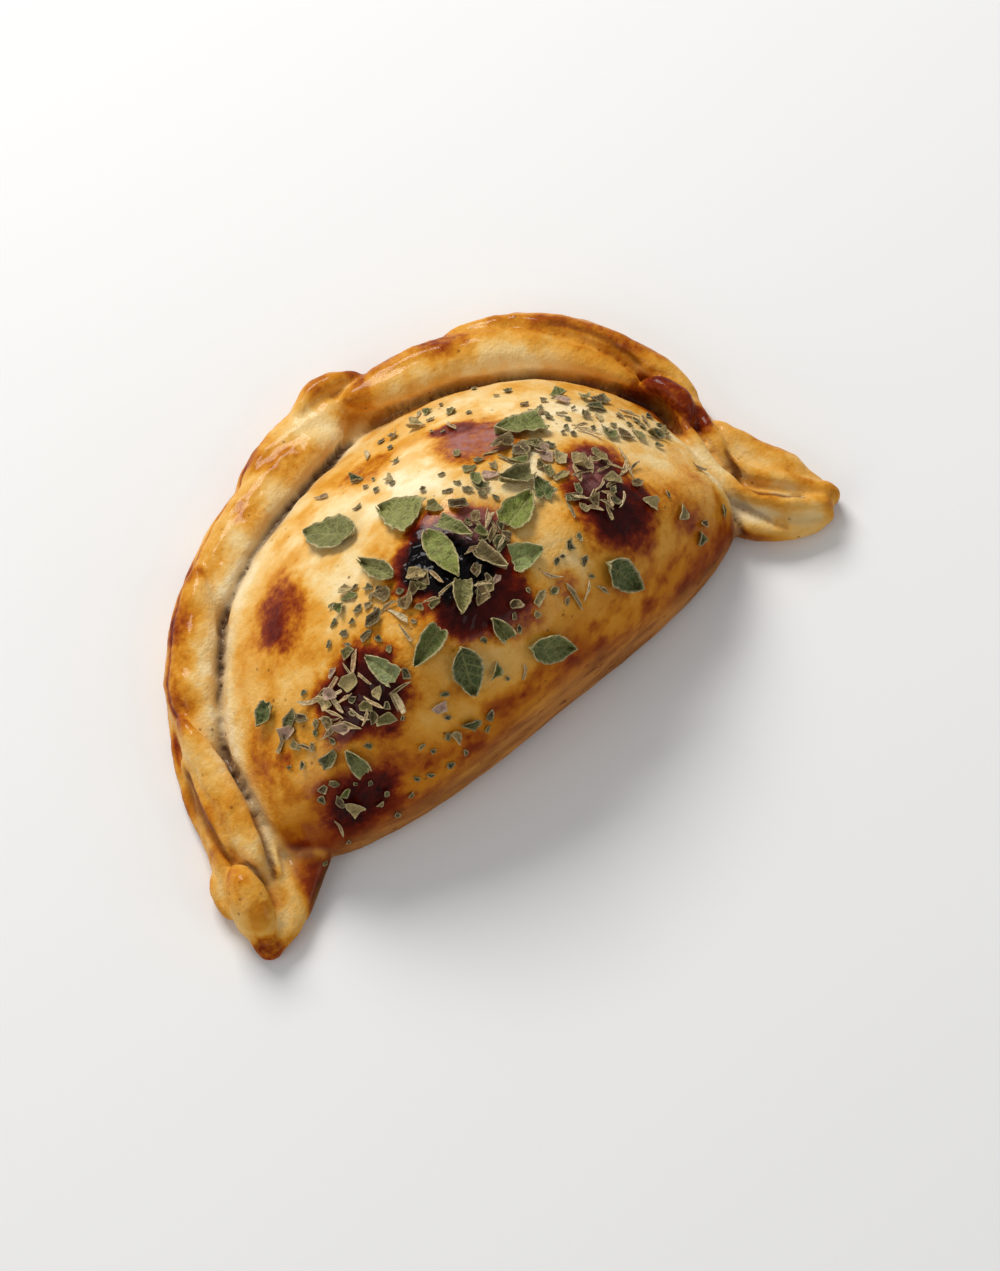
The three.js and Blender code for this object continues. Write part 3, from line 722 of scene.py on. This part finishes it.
def sculptCrust():
    mesh = crust.data
    points = toDrawn(readPoints(mesh))
    normals = averaged(mesh, readPoints(mesh, "normal"), 3)
    normals /= np.linalg.norm(normals, axis=1)[:, None]
    y, z, upward = points[:, 1], points[:, 2], normals[:, 2]
    heat = heatOfSpots(points)
    core = zone("core", heat)
    hollow = hollowness(mesh, points, normals)
    station, lane = onRimOf(points)
    onRim = zone("rim", lane)
    seam = outerSeam(normals, station, lane, onRim)
    raised = points + normals * skinRelief(points, hollow, station, lane, onRim, seam, core)[:, None]
    raised = softened(mesh, raised, 5, smoothStep(0.05, 0.2, hollow))
    creaseStations, creaseLanes, clearness = findCrease()
    aside = lane - np.interp(station, creaseStations, creaseLanes) - 0.25 * noiseAt(points, 3, 8.8)
    nearCrease = np.interp(station, creaseStations, clearness, 0, 0) * smoothStep(2, 3, z)
    nearCrease *= np.interp(station, crease["fadesIn"], (0, 1))
    underRoll = np.interp(station, crease["underRoll"], (0, 1, 1, 0))
    groove = nearCrease * (1 - 0.2 * underRoll) * np.exp(-((aside / crease["width"]) ** 2))
    wavering = points + 0.25 * noiseAt(points, 3, 2.9)[:, None]
    pressed, foldLineShade = pressedByFolds(wavering, onRim * smoothStep(0, 0.3, upward))
    raised -= normals * (crease["depth"] * groove + pressed)[:, None]
    raised = softened(mesh, raised, 2, nearCrease * np.exp(-((aside / crease["rounding"]) ** 2)))
    raised[:, 2] = np.where(z < skin["sole"], z, np.maximum(raised[:, 2], skin["sole"]))
    raised[:, 2] = np.maximum(raised[:, 2], 0)
    writePoints(mesh, toPart(raised))
    # what the finish reads: most are shares from 0 to 1, and hollow goes up to 2; the groove, the
    # fold lines and the deepest hollows carry painted shade, and the mauve sheen a painted reflection
    foldSide = zone("folded", y) * zone("foldedSlope", upward) * (1 - onRim)
    dry = zone("dry", y) * zone("drySlope", upward)
    # The hollow tone makes hollows pale where the heat didn't reach, and at its deepest, by the crease,
    # paints shade.
    hollowTone = hollow / 0.5 * (1 - 0.75 * zone("rimFolds", lane)) * (1 - 0.85 * underRoll)
    hollowTone += nearCrease * (1 - 0.9 * underRoll) * np.exp(-((aside / crease["shade"]) ** 2))
    zones = {
        "scorch": heat, "core": core, "mauve": paintedSheenOf(points), "foldLineShade": foldLineShade, "groove": groove**1.5,
        "golden": goldenOf(points, normals, station, lane, onRim, hollow, seam, underRoll),
        "hollow": np.clip(averaged(mesh, hollowTone, 2), 0, 2),
        "foldSide": averaged(mesh, foldSide, 12), "dry": averaged(mesh, dry, 12),
    }
    for name, values in zones.items():
        keepValue(mesh, name, values)


sculptCrust()
print("relief sculpted")


# A colour as it is picked, 0 to 255, turned to the values that a material takes.
def linear(colour):
    shares = (value / 255 for value in colour)
    return tuple(c / 12.92 if c <= 0.04045 else ((c + 0.055) / 1.055) ** 2.4 for c in shares)


# A node in the tree given, or in that of the first socket it is linked to.
def addNode(kind, inputs, tree=None, **settings):
    tree = tree or next(value.id_data for value in inputs.values() if isSocket(value))
    node = tree.nodes.new("ShaderNode" + kind)
    for name, value in settings.items():
        setattr(node, name, value)
    wire(node, inputs)
    return node


def calculate(operation, a, b, clamp=False):
    return addNode("Math", {0: a, 1: b}, operation=operation, use_clamp=clamp).outputs[0]


def plus(a, b, clamp=False):
    return calculate("ADD", a, b, clamp)


def times(a, b, clamp=False):
    return calculate("MULTIPLY", a, b, clamp)


def remap(value, low, high, newLow=0.0, newHigh=1.0):
    inputs = {"Value": value, "From Min": low, "From Max": high, "To Min": newLow, "To Max": newHigh}
    return addNode("MapRange", inputs, interpolation_type="SMOOTHSTEP").outputs[0]


# Each colour is another node's output or a picked one.
def mixColours(share, a, b):
    a, b = (value if isSocket(value) else (*linear(value), 1) for value in (a, b))
    return addNode("Mix", {0: share, 6: a, 7: b}, data_type="RGBA").outputs[2]


def colourRamp(value, stops):
    ramp = addNode("ValToRGB", {0: value})
    elements = ramp.color_ramp.elements
    elements.remove(elements[1])
    for i, (place, colour) in enumerate(stops):
        element = elements.new(place) if i else elements[0]
        element.position = place
        element.color = (*linear(colour), 1)
    return ramp.outputs[0]


def attribute(tree, name):
    return addNode("Attribute", {}, tree, attribute_name=name).outputs["Fac"]


def noiseTexture(place, scale, detail, roughness=0.55):
    inputs = {"Vector": place, "Scale": scale, "Detail": detail, "Roughness": roughness}
    return addNode("TexNoise", inputs).outputs["Fac"]


def bumpOf(height, strength, depth):
    inputs = {"Strength": strength, "Distance": depth * mm, "Height": height}
    return addNode("Bump", inputs).outputs[0]


# Uneven patches of one size, from From to To. The crust and the herbs share it.
def makeMottle():
    group = bpy.data.node_groups.new("mottle", "ShaderNodeTree")
    names = ("Place", "Patches per Metre", "Detail", "Roughness", "Starts", "Ends", "From", "To")
    for name in names:
        kind = "NodeSocketVector" if name == "Place" else "NodeSocketFloat"
        group.interface.new_socket(name=name, in_out="INPUT", socket_type=kind)
    group.interface.new_socket(name="Amount", in_out="OUTPUT", socket_type="NodeSocketFloat")
    given, result = group.nodes.new("NodeGroupInput").outputs, group.nodes.new("NodeGroupOutput").inputs
    sockets = [given[name] for name in names]
    amount = remap(noiseTexture(*sockets[:4]), *sockets[4:])
    group.links.new(amount, result["Amount"])
    return group


mottleGroup = makeMottle()


def mottle(place, size, starts, ends, low=0.0, high=1.0, detail=3, roughness=0.55):
    inputs = {"Place": place, "Patches per Metre": 1000 / size, "Detail": detail, "Roughness": roughness,
              "Starts": starts, "Ends": ends, "From": low, "To": high}
    return addNode("Group", inputs, node_tree=mottleGroup).outputs["Amount"]


# Stops say how far the dough is baked and its colour there. Patches are for mottle: the size in
# millimetres, where they start and end, what they add from and to, then detail and roughness.
crustFinish = {
    "stops": (
        (0.0, (247, 228, 186)), (0.12, (236, 203, 140)), (0.24, (228, 176, 92)), (0.36, (216, 150, 52)),
        (0.46, (196, 121, 24)), (0.56, (164, 84, 14)), (0.66, (128, 46, 9)), (0.77, (98, 22, 4)),
        (0.88, (66, 10, 3)), (1.0, (11, 5, 6)),
    ),
    # The crease, groove and foldLine colours are painted shade, and the mauve one a painted reflection.
    "colours": {
        "hollow": (214, 182, 136), "crease": (124, 76, 34), "groove": (80, 48, 24),
        "mauve": (160, 106, 102), "speck": (112, 62, 24), "foldLine": (120, 62, 16),
        "foldSide": (194, 130, 62), "foldFleck": (104, 52, 16),
    },
    "patches": {
        "large": (14, 0.36, 0.66, -0.07, 0.1), "middle": (6, 0.44, 0.66, -0.02, 0.13, 3, 0.5),
        "small": (1.9, 0.5, 0.72, 0, 0.05), "streaks": (1.8, 0.35, 0.68, -0.08, 0.16, 4),
        "mauve": (1.6, 0.36, 0.6, 0.25, 1, 4), "pits": (9, 0.46, 0.6), "side": (2.6, 0.4, 0.62, 0, 0.5, 4),
        "flecks": (1.3, 0.62, 0.7, 0, 0.75, 2),
    },
    "streakStretch": (0.25, 1, 1), "fleckStretch": (0.5, 1, 1), "pitSpacing": 2.6, "breakup": 1.9,
    "fineGrain": 1.2, "pores": 0.55, "charGrain": 0.9,
    "roughness": (0.5, 0.36), "coat": (0.26, 0.22), "dryCoat": 0.15, "bump": (0.7, 0.62),
    "sockets": {"Coat Roughness": 0.1, "Specular IOR Level": 0.02},
}


def makeCrustFinish():
    finish = crustFinish
    colours = finish["colours"]
    material, tree, shader = newMaterial("bakedDough")
    place = addNode("TexCoord", {}, tree).outputs["Object"]
    heat, tone = attribute(tree, "scorch"), attribute(tree, "golden")
    hollow, foldSide = attribute(tree, "hollow"), attribute(tree, "foldSide")
    left = calculate("SUBTRACT", 1.0, heat, clamp=True)  # what the burning leaves of the other tones

    def stretched(name):
        return addNode("Mapping", {"Vector": place, "Scale": finish[name]}).outputs[0]

    def patches(name, where=place):
        return mottle(where, *finish["patches"][name])

    streaks = times(patches("streaks", stretched("streakStretch")), foldSide)
    for added in (patches("large"), patches("middle"), patches("small"), streaks):
        tone = plus(tone, added)
    fine = noiseTexture(place, 1 / (finish["fineGrain"] * mm), 4, 0.65)
    breakup = times(calculate("SUBTRACT", fine, 0.5), times(heat, left))
    cooked = plus(times(breakup, finish["breakup"]), heat)
    baked = colourRamp(plus(times(tone, left), cooked, clamp=True), finish["stops"])
    cells = addNode("TexVoronoi", {"Vector": place, "Scale": 1 / (finish["pitSpacing"] * mm)})
    pits = times(remap(cells.outputs["Distance"], 0.07, 0.16, 0.7, 0), patches("pits"))
    # Over the baked colour: the pale of hollows the heat didn't reach, painted shade in the deepest
    # hollows, in the crease's groove and along the lines between folds, a painted mauve reflection on the
    # burnt spots, and brown specks.
    layers = {
        "hollow": times(times(hollow, left), 0.5, clamp=True),
        "crease": times(remap(hollow, 1.0, 1.9, 0, 0.55), left),
        "groove": times(attribute(tree, "groove"), 0.9),
        "mauve": times(attribute(tree, "mauve"), patches("mauve")),
        "speck": times(pits, left),
        "foldLine": times(attribute(tree, "foldLineShade"), 0.85),
    }
    for name, share in layers.items():
        baked = mixColours(share, baked, colours[name])
    fleck = colours["foldFleck"]
    side = mixColours(patches("side", stretched("streakStretch")), colours["foldSide"], fleck)
    side = mixColours(patches("flecks", stretched("fleckStretch")), side, fleck)
    colour = mixColours(times(times(foldSide, left), 0.8), baked, side)
    coat = remap(heat, 0.0, 0.8, *finish["coat"])
    coat = times(coat, remap(attribute(tree, "dry"), 0, 0.9, 1, finish["dryCoat"]))
    pores = noiseTexture(place, 1 / (finish["pores"] * mm), 2)
    char = noiseTexture(place, 1 / (finish["charGrain"] * mm), 3, 0.6)
    height = plus(times(fine, 0.8), times(pores, 0.22))
    height = plus(height, times(times(char, attribute(tree, "core")), 3.0))
    wire(shader, {
        "Base Color": colour, "Roughness": remap(heat, 0.2, 0.9, *finish["roughness"]),
        "Coat Weight": coat, "Normal": bumpOf(height, *finish["bump"]), **finish["sockets"],
    })
    return material


crust.data.materials.append(makeCrustFinish())
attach(crust, body)
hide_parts("pastry")
print("crust finished")

# The edge colour is a painted highlight along the curled edges of leaves and flakes, laid in patches.
herbFinish = {
    "edgeHighlightColour": (206, 184, 136), "veinColour": (164, 158, 100), "dustColour": (66, 56, 28),
    "dust": (1.1, 0.46, 0.7, 0, 0.6, 4, 0.6), "edgeHighlightPatches": (1.2, 0.3, 0.6, 0.15, 0.8),
    "roughness": (0.9, 0.3, 0.7, 0.45, 0.68), "grain": 0.3, "netSize": 1.1, "bump": (0.7, 0.22),
    "sockets": {"Specular IOR Level": 0.25},
}


def makeHerbFinish():
    finish = herbFinish
    material, tree, shader = newMaterial("driedOregano")
    place = addNode("TexCoord", {}, tree).outputs["Object"]
    own = addNode("Attribute", {}, tree, attribute_name="herbColour").outputs["Color"]
    colour = mixColours(mottle(place, *finish["dust"]), own, finish["dustColour"])
    net = addNode("TexVoronoi", {"Vector": place, "Scale": 1000 / finish["netSize"]},
                  feature="DISTANCE_TO_EDGE").outputs["Distance"]
    netted = remap(net, 0.0, 0.22, 1, 0)
    for share in (times(netted, 0.2), times(attribute(tree, "vein"), 0.55)):
        colour = mixColours(share, colour, finish["veinColour"])
    # A painted highlight along the curled edges, in patches.
    edgeHighlight = times(attribute(tree, "edge"), mottle(place, *finish["edgeHighlightPatches"]))
    grain = noiseTexture(place, 1 / (finish["grain"] * mm), 3, 0.6)
    height = plus(grain, times(netted, -0.8))
    wire(shader, {
        "Base Color": mixColours(edgeHighlight, colour, finish["edgeHighlightColour"]),
        "Roughness": mottle(place, *finish["roughness"]),
        "Normal": bumpOf(height, *finish["bump"]), **finish["sockets"],
    })
    return material


driedOregano = makeHerbFinish()
crustSurface = surfaceOf(crust)


def paintHerb(mesh, colour):
    layer = mesh.attributes.new("herbColour", "FLOAT_COLOR", "POINT")
    layer.data.foreach_set("color", np.tile([*colour, 1], len(mesh.vertices)).astype(np.float32))


def finishHerb(piece, build, side, *nodes):
    applyModifier(piece, "SOLIDIFY", thickness=build["thickness"] * mm, offset=side)
    bpy.ops.object.shade_smooth_by_angle(angle=math.radians(build["smoothAngle"]))
    piece.data.materials.append(driedOregano)
    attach(piece, body)
    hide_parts(*nodes)


def newGrid(columns, rows):
    deselectAll()
    bpy.ops.mesh.primitive_grid_add(x_subdivisions=columns, y_subdivisions=rows, size=2)
    return bpy.context.object


# Where a leaf's middle is and the way its tip points, in degrees from +X; its length and width; the
# share that is torn off at the stalk; how high it lies; how far its edges curl up; and its colour.
leaves = tableOf(
    "at points size torn lift curl colour",
    ((-12.5, 46), 117, (12.6, 7.4), 0, 0, 0.5, (112, 112, 58)),
    ((-3.1, 38.9), 110, (9, 7.6), 0.35, 0, 0.6, (134, 136, 72)),
    ((24.7, 40.3), 157, (9, 7), 0.2, 0, 0.7, (106, 112, 50)),
    ((11.9, 25.2), 20, (7.8, 5.6), 0.15, 0, 0.8, (118, 128, 48)),
    ((-3.7, 26.3), -97, (10.2, 4.6), 0, 0.9, 0.5, (132, 140, 66)),
    ((0.6, 28.2), -68, (6.4, 2.8), 0.3, 1.9, 0.6, (126, 130, 74)),
    ((7.6, 18), -15, (5.6, 5), 0.35, 0, 0.7, (126, 138, 78)),
    ((2, 20.8), -71, (6, 2.8), 0.3, 0, 1.3, (140, 118, 84)),
    ((-6.1, 18.6), -130, (5.8, 3.2), 0.2, 0, 1.0, (134, 126, 74)),
    ((-12.5, 32.8), 101, (8, 3.2), 0.1, 0, 0.7, (116, 114, 62)),
    ((15.7, 30.6), 157, (5.8, 3.6), 0.2, 0, 1.2, (98, 92, 54)),
    ((17.8, 26.4), 76, (4.4, 3.8), 0.45, 0, 0.6, (84, 96, 48)),
    ((20.3, 8.3), -52, (9.6, 5.6), 0, 0, 0.9, (72, 86, 42)),
    ((2.3, 5.5), -23, (9.4, 5.4), 0, 0, 0.8, (94, 102, 52)),
    ((-12.3, 9.8), -111, (8.8, 5.4), 0, 0, 0.7, (68, 80, 38)),
    ((-15.6, 16), -166, (7.7, 3.8), 0.2, 0, 1.3, (92, 104, 48)),
    ((-23.1, 18.6), 100, (6.6, 3.6), 0.3, 0.6, 0.4, (128, 136, 88)),
    ((-40.3, 29), -161, (4.4, 4), 0.15, 0, 0.6, (74, 88, 42)),
    ((-34.9, 11.4), 98, (5.2, 2.8), 0.2, 0, 0.7, (112, 118, 70)),
    ((-3.8, 11.5), 100, (4.6, 2.8), 0.2, 0, 0.8, (98, 100, 52)),
)
leafBuild = {
    "cells": (44, 22), "thickness": 0.18, "clearance": 0.05, "roundness": 0.8, "leastHalfWidth": 0.15,
    "teeth": (0.12, 0.09), "tornEdge": 0.9, "wholeEdge": 0.2, "top": 0.3, "liftShare": 0.75, "rise": 0.42,
    "ripple": 0.16, "curl": 0.95, "tipCurl": 0.5, "crumple": 0.34,
    "veins": 5, "veinSlant": 0.16, "midribWidth": 0.16, "veinDepth": 0.16, "smoothAngle": 50,
}


# A leaf is cut from a flat grid: u goes from stalk to tip, and side from -1 to 1 across.
def makeLeaf(number, leaf):
    build, torn, (length, width) = leafBuild, leaf["torn"], leaf["size"]
    piece = newGrid(*build["cells"])
    piece.name = f"oreganoLeaf{number:02d}"
    mesh = piece.data
    x, side, zero = readPoints(mesh).T
    u, off = (x + 1) / 2, np.abs(side)
    onWhole = torn + (1 - torn) * u
    halfWidth = 0.5 * width * np.sin(np.pi * onWhole ** build["roundness"]) ** build["roundness"]
    halfWidth = np.maximum(halfWidth, build["leastHalfWidth"])
    seed = np.column_stack([u * 5 + number, np.sign(side) * 3, zero])
    coarse, fine = build["teeth"]
    halfWidth *= 1 + coarse * noiseAt(seed, 1) + fine * noiseAt(seed, 0.4)
    ragged = noiseAt(np.column_stack([side * 2.2, zero + number, zero]), 1) * smoothStep(0.35, 0, u)
    along = (u - 0.5) * length + build["tornEdge" if torn else "wholeEdge"] * ragged
    across = side * halfWidth
    # veins run from the midrib towards the tip, and the blade swells between them
    between = np.abs(np.sin(np.pi * ((u - build["veinSlant"] * off) * build["veins"] + 0.3)))
    midrib = np.exp(-((across / build["midribWidth"]) ** 2))
    vein = np.maximum(midrib, (1 - smoothStep(0.0, 0.38, between)) * smoothStep(1.0, 0.75, off) * 0.8)
    rise = build["top"] + build["liftShare"] * leaf["lift"] + build["rise"] * off
    rise += build["ripple"] * (1 + np.sin(9 * u + 2 * side + length))
    crumple = noiseAt(np.column_stack([along, across, zero + number]), 1.7)
    towardsEnds = np.abs(2 * u - 1)
    curl = build["curl"] * off**2.5 + build["tipCurl"] * towardsEnds**5
    rise += leaf["curl"] * curl + build["crumple"] * crumple
    rise -= build["veinDepth"] * vein
    frameAt = frameOn(*leaf["at"], leaf["points"])
    outward = frameAt.col[2].to_3d()
    points = []
    for a, c, r in zip(along.tolist(), across.tolist(), rise.tolist()):
        start = frameAt @ Vector((a, c, width))
        met, _ = landing(bareDough, start, -outward)
        crusty, _ = landing(crustSurface, start, -outward)
        r = max(r, (crusty - met).dot(outward) + build["clearance"] + build["thickness"])
        points.append(met + outward * r)
    writePoints(mesh, toPart(points))
    keepValue(mesh, "vein", vein)
    # The edges, where the finish paints a highlight.
    keepValue(mesh, "edge", np.maximum(smoothStep(0.84, 0.97, off), smoothStep(0.94, 0.99, towardsEnds)))
    paintHerb(mesh, linear(leaf["colour"]))
    if mesh.polygons[0].normal.dot(outward) < 0:  # its thickness is then added above
        inEditMode(piece, bpy.ops.mesh.flip_normals)
    finishHerb(piece, build, -1, f"oregano_leaf_{number:02d}")


for i, leaf in enumerate(leaves):
    makeLeaf(i + 1, leaf)
print("leaves laid:", len(leaves))

# Flakes lie in patches. Runs is the way a patch's longer reach lies. Straws and specks are the
# shares that are slivers or crumbs. The first count lies flat, and more come smaller, or heaped,
# some of them with a size and spacing of their own.
patches = tableOf(
    "at reach runs straws specks count more heap size spacing",
    ((27.3, 22), (8.5, 6), 20, 0.55, 0.1, 17, 15, 0.5),
    ((-2, 23.5), (9.5, 7), 10, 0.5, 0.1, 15, 17, 0.6),
    ((-27, 18), (8, 5.5), 0, 0.7, 0.1, 15, 12, 0.6),
    ((-37.5, 10.5), (6.5, 4), 30, 0.2, 0.4, 6, 5),
    ((42, 32), (8, 5), -50, 0.1, 0.5, 9, 3),
    ((17, 32), (9, 6.5), -30, 0.1, 0.2, 11, 6),
    ((29, 38), (9, 5.5), -20, 0.1, 0.6, 8, 7),
    ((-20, 29), (8, 6), 40, 0.1, 0.5, 10, 8),
    ((-38, 20), (8, 5), 60, 0.3, 0.4, 7, 6),
    ((-6, 9), (15, 5), 8, 0.2, 0.6, 7, 10),
    ((15, 12), (8, 5), 0, 0.3, 0.5, 5, 6),
    ((5, 52), (20, 7), 5, 0.1, 0.8, 0, 16),
    ((22, 56), (16, 4), -12, 0.1, 0.6, 0, 10),
    ((-30, 4), (20, 4), -5, 0.1, 0.9, 0, 14),
    ((38, 37), (14, 7), -35, 0.05, 0.35, 0, 15, 0, 1.05, 2.4),
    ((40, 16), (9, 8), 0, 0.2, 0.6, 0, 8),
    ((-28, 18), (12, 11), 0, 0.4, 0.3, 0, 7),
    ((12, 34), (12, 9), 0, 0.1, 0.5, 0, 12, 0, 0.95, 2.2),
    ((-18, 24), (10, 10), 0, 0.2, 0.6, 0, 12, 0, 0.95, 2.2),
)
flakeKinds = {
    "chip": {
        "length": (2.3, 3.8), "slender": 0.7, "cells": 8, "sides": 5, "curl": 0.9, "name": "oreganoChips",
        "colours": ((106, 96, 50), (146, 126, 80), (62, 60, 28), (104, 76, 44), (176, 152, 104),
                    (76, 52, 30), (100, 104, 48), (176, 140, 126)),
    },
    "straw": {
        "length": (3, 4.8), "slender": 0.2, "cells": 8, "sides": 4, "curl": 0.7, "name": "oreganoStraws",
        "colours": ((198, 168, 126), (168, 138, 98), (216, 190, 148), (122, 94, 60), (184, 148, 112)),
    },
    "speck": {
        "length": (1.3, 2), "slender": 0.75, "cells": 6, "sides": 5, "curl": 0.5, "name": "oreganoSpecks",
        "colours": ((58, 56, 28), (76, 62, 34), (60, 36, 22), (98, 88, 52), (42, 36, 20), (120, 96, 62)),
    },
}
# How the first flakes of a patch are laid and how more of them are: the size against the kind's
# own, the least distance between two, the clearance from a leaf, and how many are tried.
firstFlakes = {"seed": 41, "size": 1, "spacing": 1.3, "clearance": 0.9, "tries": 80}
moreFlakes = {"seed": 141, "size": 0.8, "spacing": 1.35, "clearance": 0.35, "tries": 160}
flakeBuild = {
    "tilt": 14, "thickness": 0.15, "crumple": 0.16, "halfLength": 0.58, "base": 0.12, "clearance": 0.05,
    "shapeSeed": 7000, "smoothAngle": 40, "sidesOff": (0.62, 0.98), "leastSideOff": 0.6, "mostReach": 1.25,
    "width": (0.75, 1.25), "curl": (0.3, 1.5), "skew": 0.6, "bow": 0.4, "rise": 0.3, "edgeRise": 0.1,
    "brightness": (0.85, 1.35),
}


# Repeatable numbers from 0 to 1.
def seededDraw(seed):
    state = seed * 2654435 % 2**32

    def draw():
        nonlocal state
        state = (state * 1664525 + 1013904223) % 2**32
        return state / 2**32
    return draw


def within(draw, low, high):
    return low + (high - low) * draw()


def turned(x, y, degrees):
    angle = math.radians(degrees)
    return x * math.cos(angle) - y * math.sin(angle), x * math.sin(angle) + y * math.cos(angle)


def isClearOfLeaves(x, y, clearance):
    for leaf in leaves:
        length, width = leaf["size"]
        along, across = turned(x - leaf["at"][0], y - leaf["at"][1], -leaf["points"])
        if (along / (length / 2 + clearance)) ** 2 + (across / (width / 2 + clearance)) ** 2 <= 1:
            return False
    return True


def flakesOfPatch(patch, number, count, taken):
    draw = seededDraw(patch["seed"] + number)
    flakes = []
    for _ in range(patch["tries"]):
        if len(flakes) >= count:
            break
        around, out = 2 * math.pi * draw(), math.sqrt(draw())
        x, y = math.cos(around) * out * patch["reach"][0], math.sin(around) * out * patch["reach"][1]
        x, y = turned(x, y, patch["runs"])
        x, y = x + patch["at"][0], y + patch["at"][1]
        choice = draw()
        kind = "straw" if choice < patch["straws"] else "chip"
        kind = "speck" if choice > 1 - patch["specks"] else kind
        length = within(draw, *flakeKinds[kind]["length"]) * patch["size"]
        points = 360 * draw()
        tilt = flakeBuild["tilt"] * (2 * draw() - 1)
        tips = [turned(share * length, 0, points) for share in (-0.5, 0, 0.5)]
        clear = all(isClearOfLeaves(x + tip[0], y + tip[1], patch["clearance"]) for tip in tips)
        clear = clear and landingFromAbove(x, y)[0] is not None
        if clear and all(math.hypot(x - a, y - b) > patch["spacing"] for a, b in taken):
            taken.append((x, y))
            flakes.append({"at": (x, y), "kind": kind, "length": length, "points": points, "tilt": tilt})
    return flakes


# One flake of a kind, flat, 2 long and 2 wide, to be cut and bent differently each time.
def cutFlake(kind):
    piece = newGrid(flakeKinds[kind]["cells"], flakeKinds[kind]["cells"])
    x, y, _ = readPoints(piece.data).T
    # The outline, where the finish paints a highlight.
    keepValue(piece.data, "edge", (np.maximum(np.abs(x), np.abs(y)) > 0.99) * 0.75)
    keepValue(piece.data, "vein", (np.abs(y) < 0.1) * 0.3)
    return piece


# The square's points drawn in to an outline of straight torn sides, each at its own distance.
def tornOutline(x, y, sides, draw):
    ring, angle = np.maximum(np.abs(x), np.abs(y)), np.arctan2(y, x)
    first = 2 * math.pi * draw()
    reach = np.full(len(x), 0.0)
    for side in range(sides):
        faces = first + 2 * math.pi * (side + 0.7 * (draw() - 0.5)) / sides
        reach = np.maximum(reach, np.cos(angle - faces) / within(draw, *flakeBuild["sidesOff"]))
    reach = np.minimum(1 / np.maximum(reach, flakeBuild["leastSideOff"]), flakeBuild["mostReach"])
    return ring * reach * np.cos(angle), ring * reach * np.sin(angle), ring


def placeFlake(pattern, flake, seed, lift):
    build, kind, tilt = flakeBuild, flakeKinds[flake["kind"]], math.radians(flake["tilt"])
    draw = seededDraw(seed + build["shapeSeed"])
    piece = pattern.copy()
    piece.data = pattern.data.copy()
    bpy.context.collection.objects.link(piece)
    x, y, zero = readPoints(piece.data).T
    x, y, ring = tornOutline(x, y, kind["sides"], draw)
    crumple = noiseAt(np.column_stack([x * 1.3, y * 1.3, zero + seed * 0.37]), 0.8)
    halfLength = build["halfLength"] * flake["length"]
    halfWidth = halfLength * kind["slender"] * within(draw, *build["width"])
    curl = kind["curl"] * within(draw, *build["curl"]) * halfWidth
    skew, bow = build["skew"] * (draw() - 0.5), build["bow"] * (draw() - 0.5)
    rise = build["rise"] * halfLength * (draw() - 0.3)
    along = x * halfLength + skew * y * halfWidth
    across = y * halfWidth + bow * x**2 * halfLength
    up = curl * y**2 + rise * x**2 + build["edgeRise"] * ring**4 + build["base"] + lift
    up += build["crumple"] * crumple * min(halfLength, 1.6)
    up += math.tan(tilt) * along * 0.6 + abs(math.sin(tilt)) * halfLength * 0.5
    frameAt = frameOn(*flake["at"], flake["points"])
    outward = frameAt.col[2].to_3d()
    points = []
    for p in np.column_stack([along, across, up]).tolist():
        point = frameAt @ Vector(p)
        crusty, _ = landing(crustSurface, point + outward * 4, -outward)
        if crusty:
            point += outward * max((crusty - point).dot(outward) + build["clearance"], 0)
        points.append(point)
    writePoints(piece.data, toPart(points))
    colour = kind["colours"][int(draw() * len(kind["colours"]))]
    paintHerb(piece.data, np.array(linear(colour)) * within(draw, *build["brightness"]))
    return piece


def scatterFlakes():
    taken, laid = [], []
    for i, patch in enumerate(patches):
        laid += [(flake, 0) for flake in flakesOfPatch({**firstFlakes, **patch}, i, patch["count"], taken)]
    for i, patch in enumerate(patches):
        heap = patch.get("heap", 0)
        found = flakesOfPatch({**moreFlakes, **patch}, i, patch["more"], [] if heap else taken)
        laid += [(flake, heap * (0.4 + 0.6 * (k % 3) / 2)) for k, flake in enumerate(found)]
    byKind = {kind: [] for kind in flakeKinds}
    patterns = {kind: cutFlake(kind) for kind in flakeKinds}
    for seed, (flake, lift) in enumerate(laid):
        byKind[flake["kind"]].append(placeFlake(patterns[flake["kind"]], flake, seed, lift))
    for kind, pieces in byKind.items():
        selectOnly(*pieces)
        bpy.ops.object.join()
        piece = bpy.context.object
        piece.name = flakeKinds[kind]["name"]
        finishHerb(piece, flakeBuild, 1, "pastry")
        bpy.data.objects.remove(patterns[kind])
        print(piece.name, len(pieces), "flakes")


scatterFlakes()
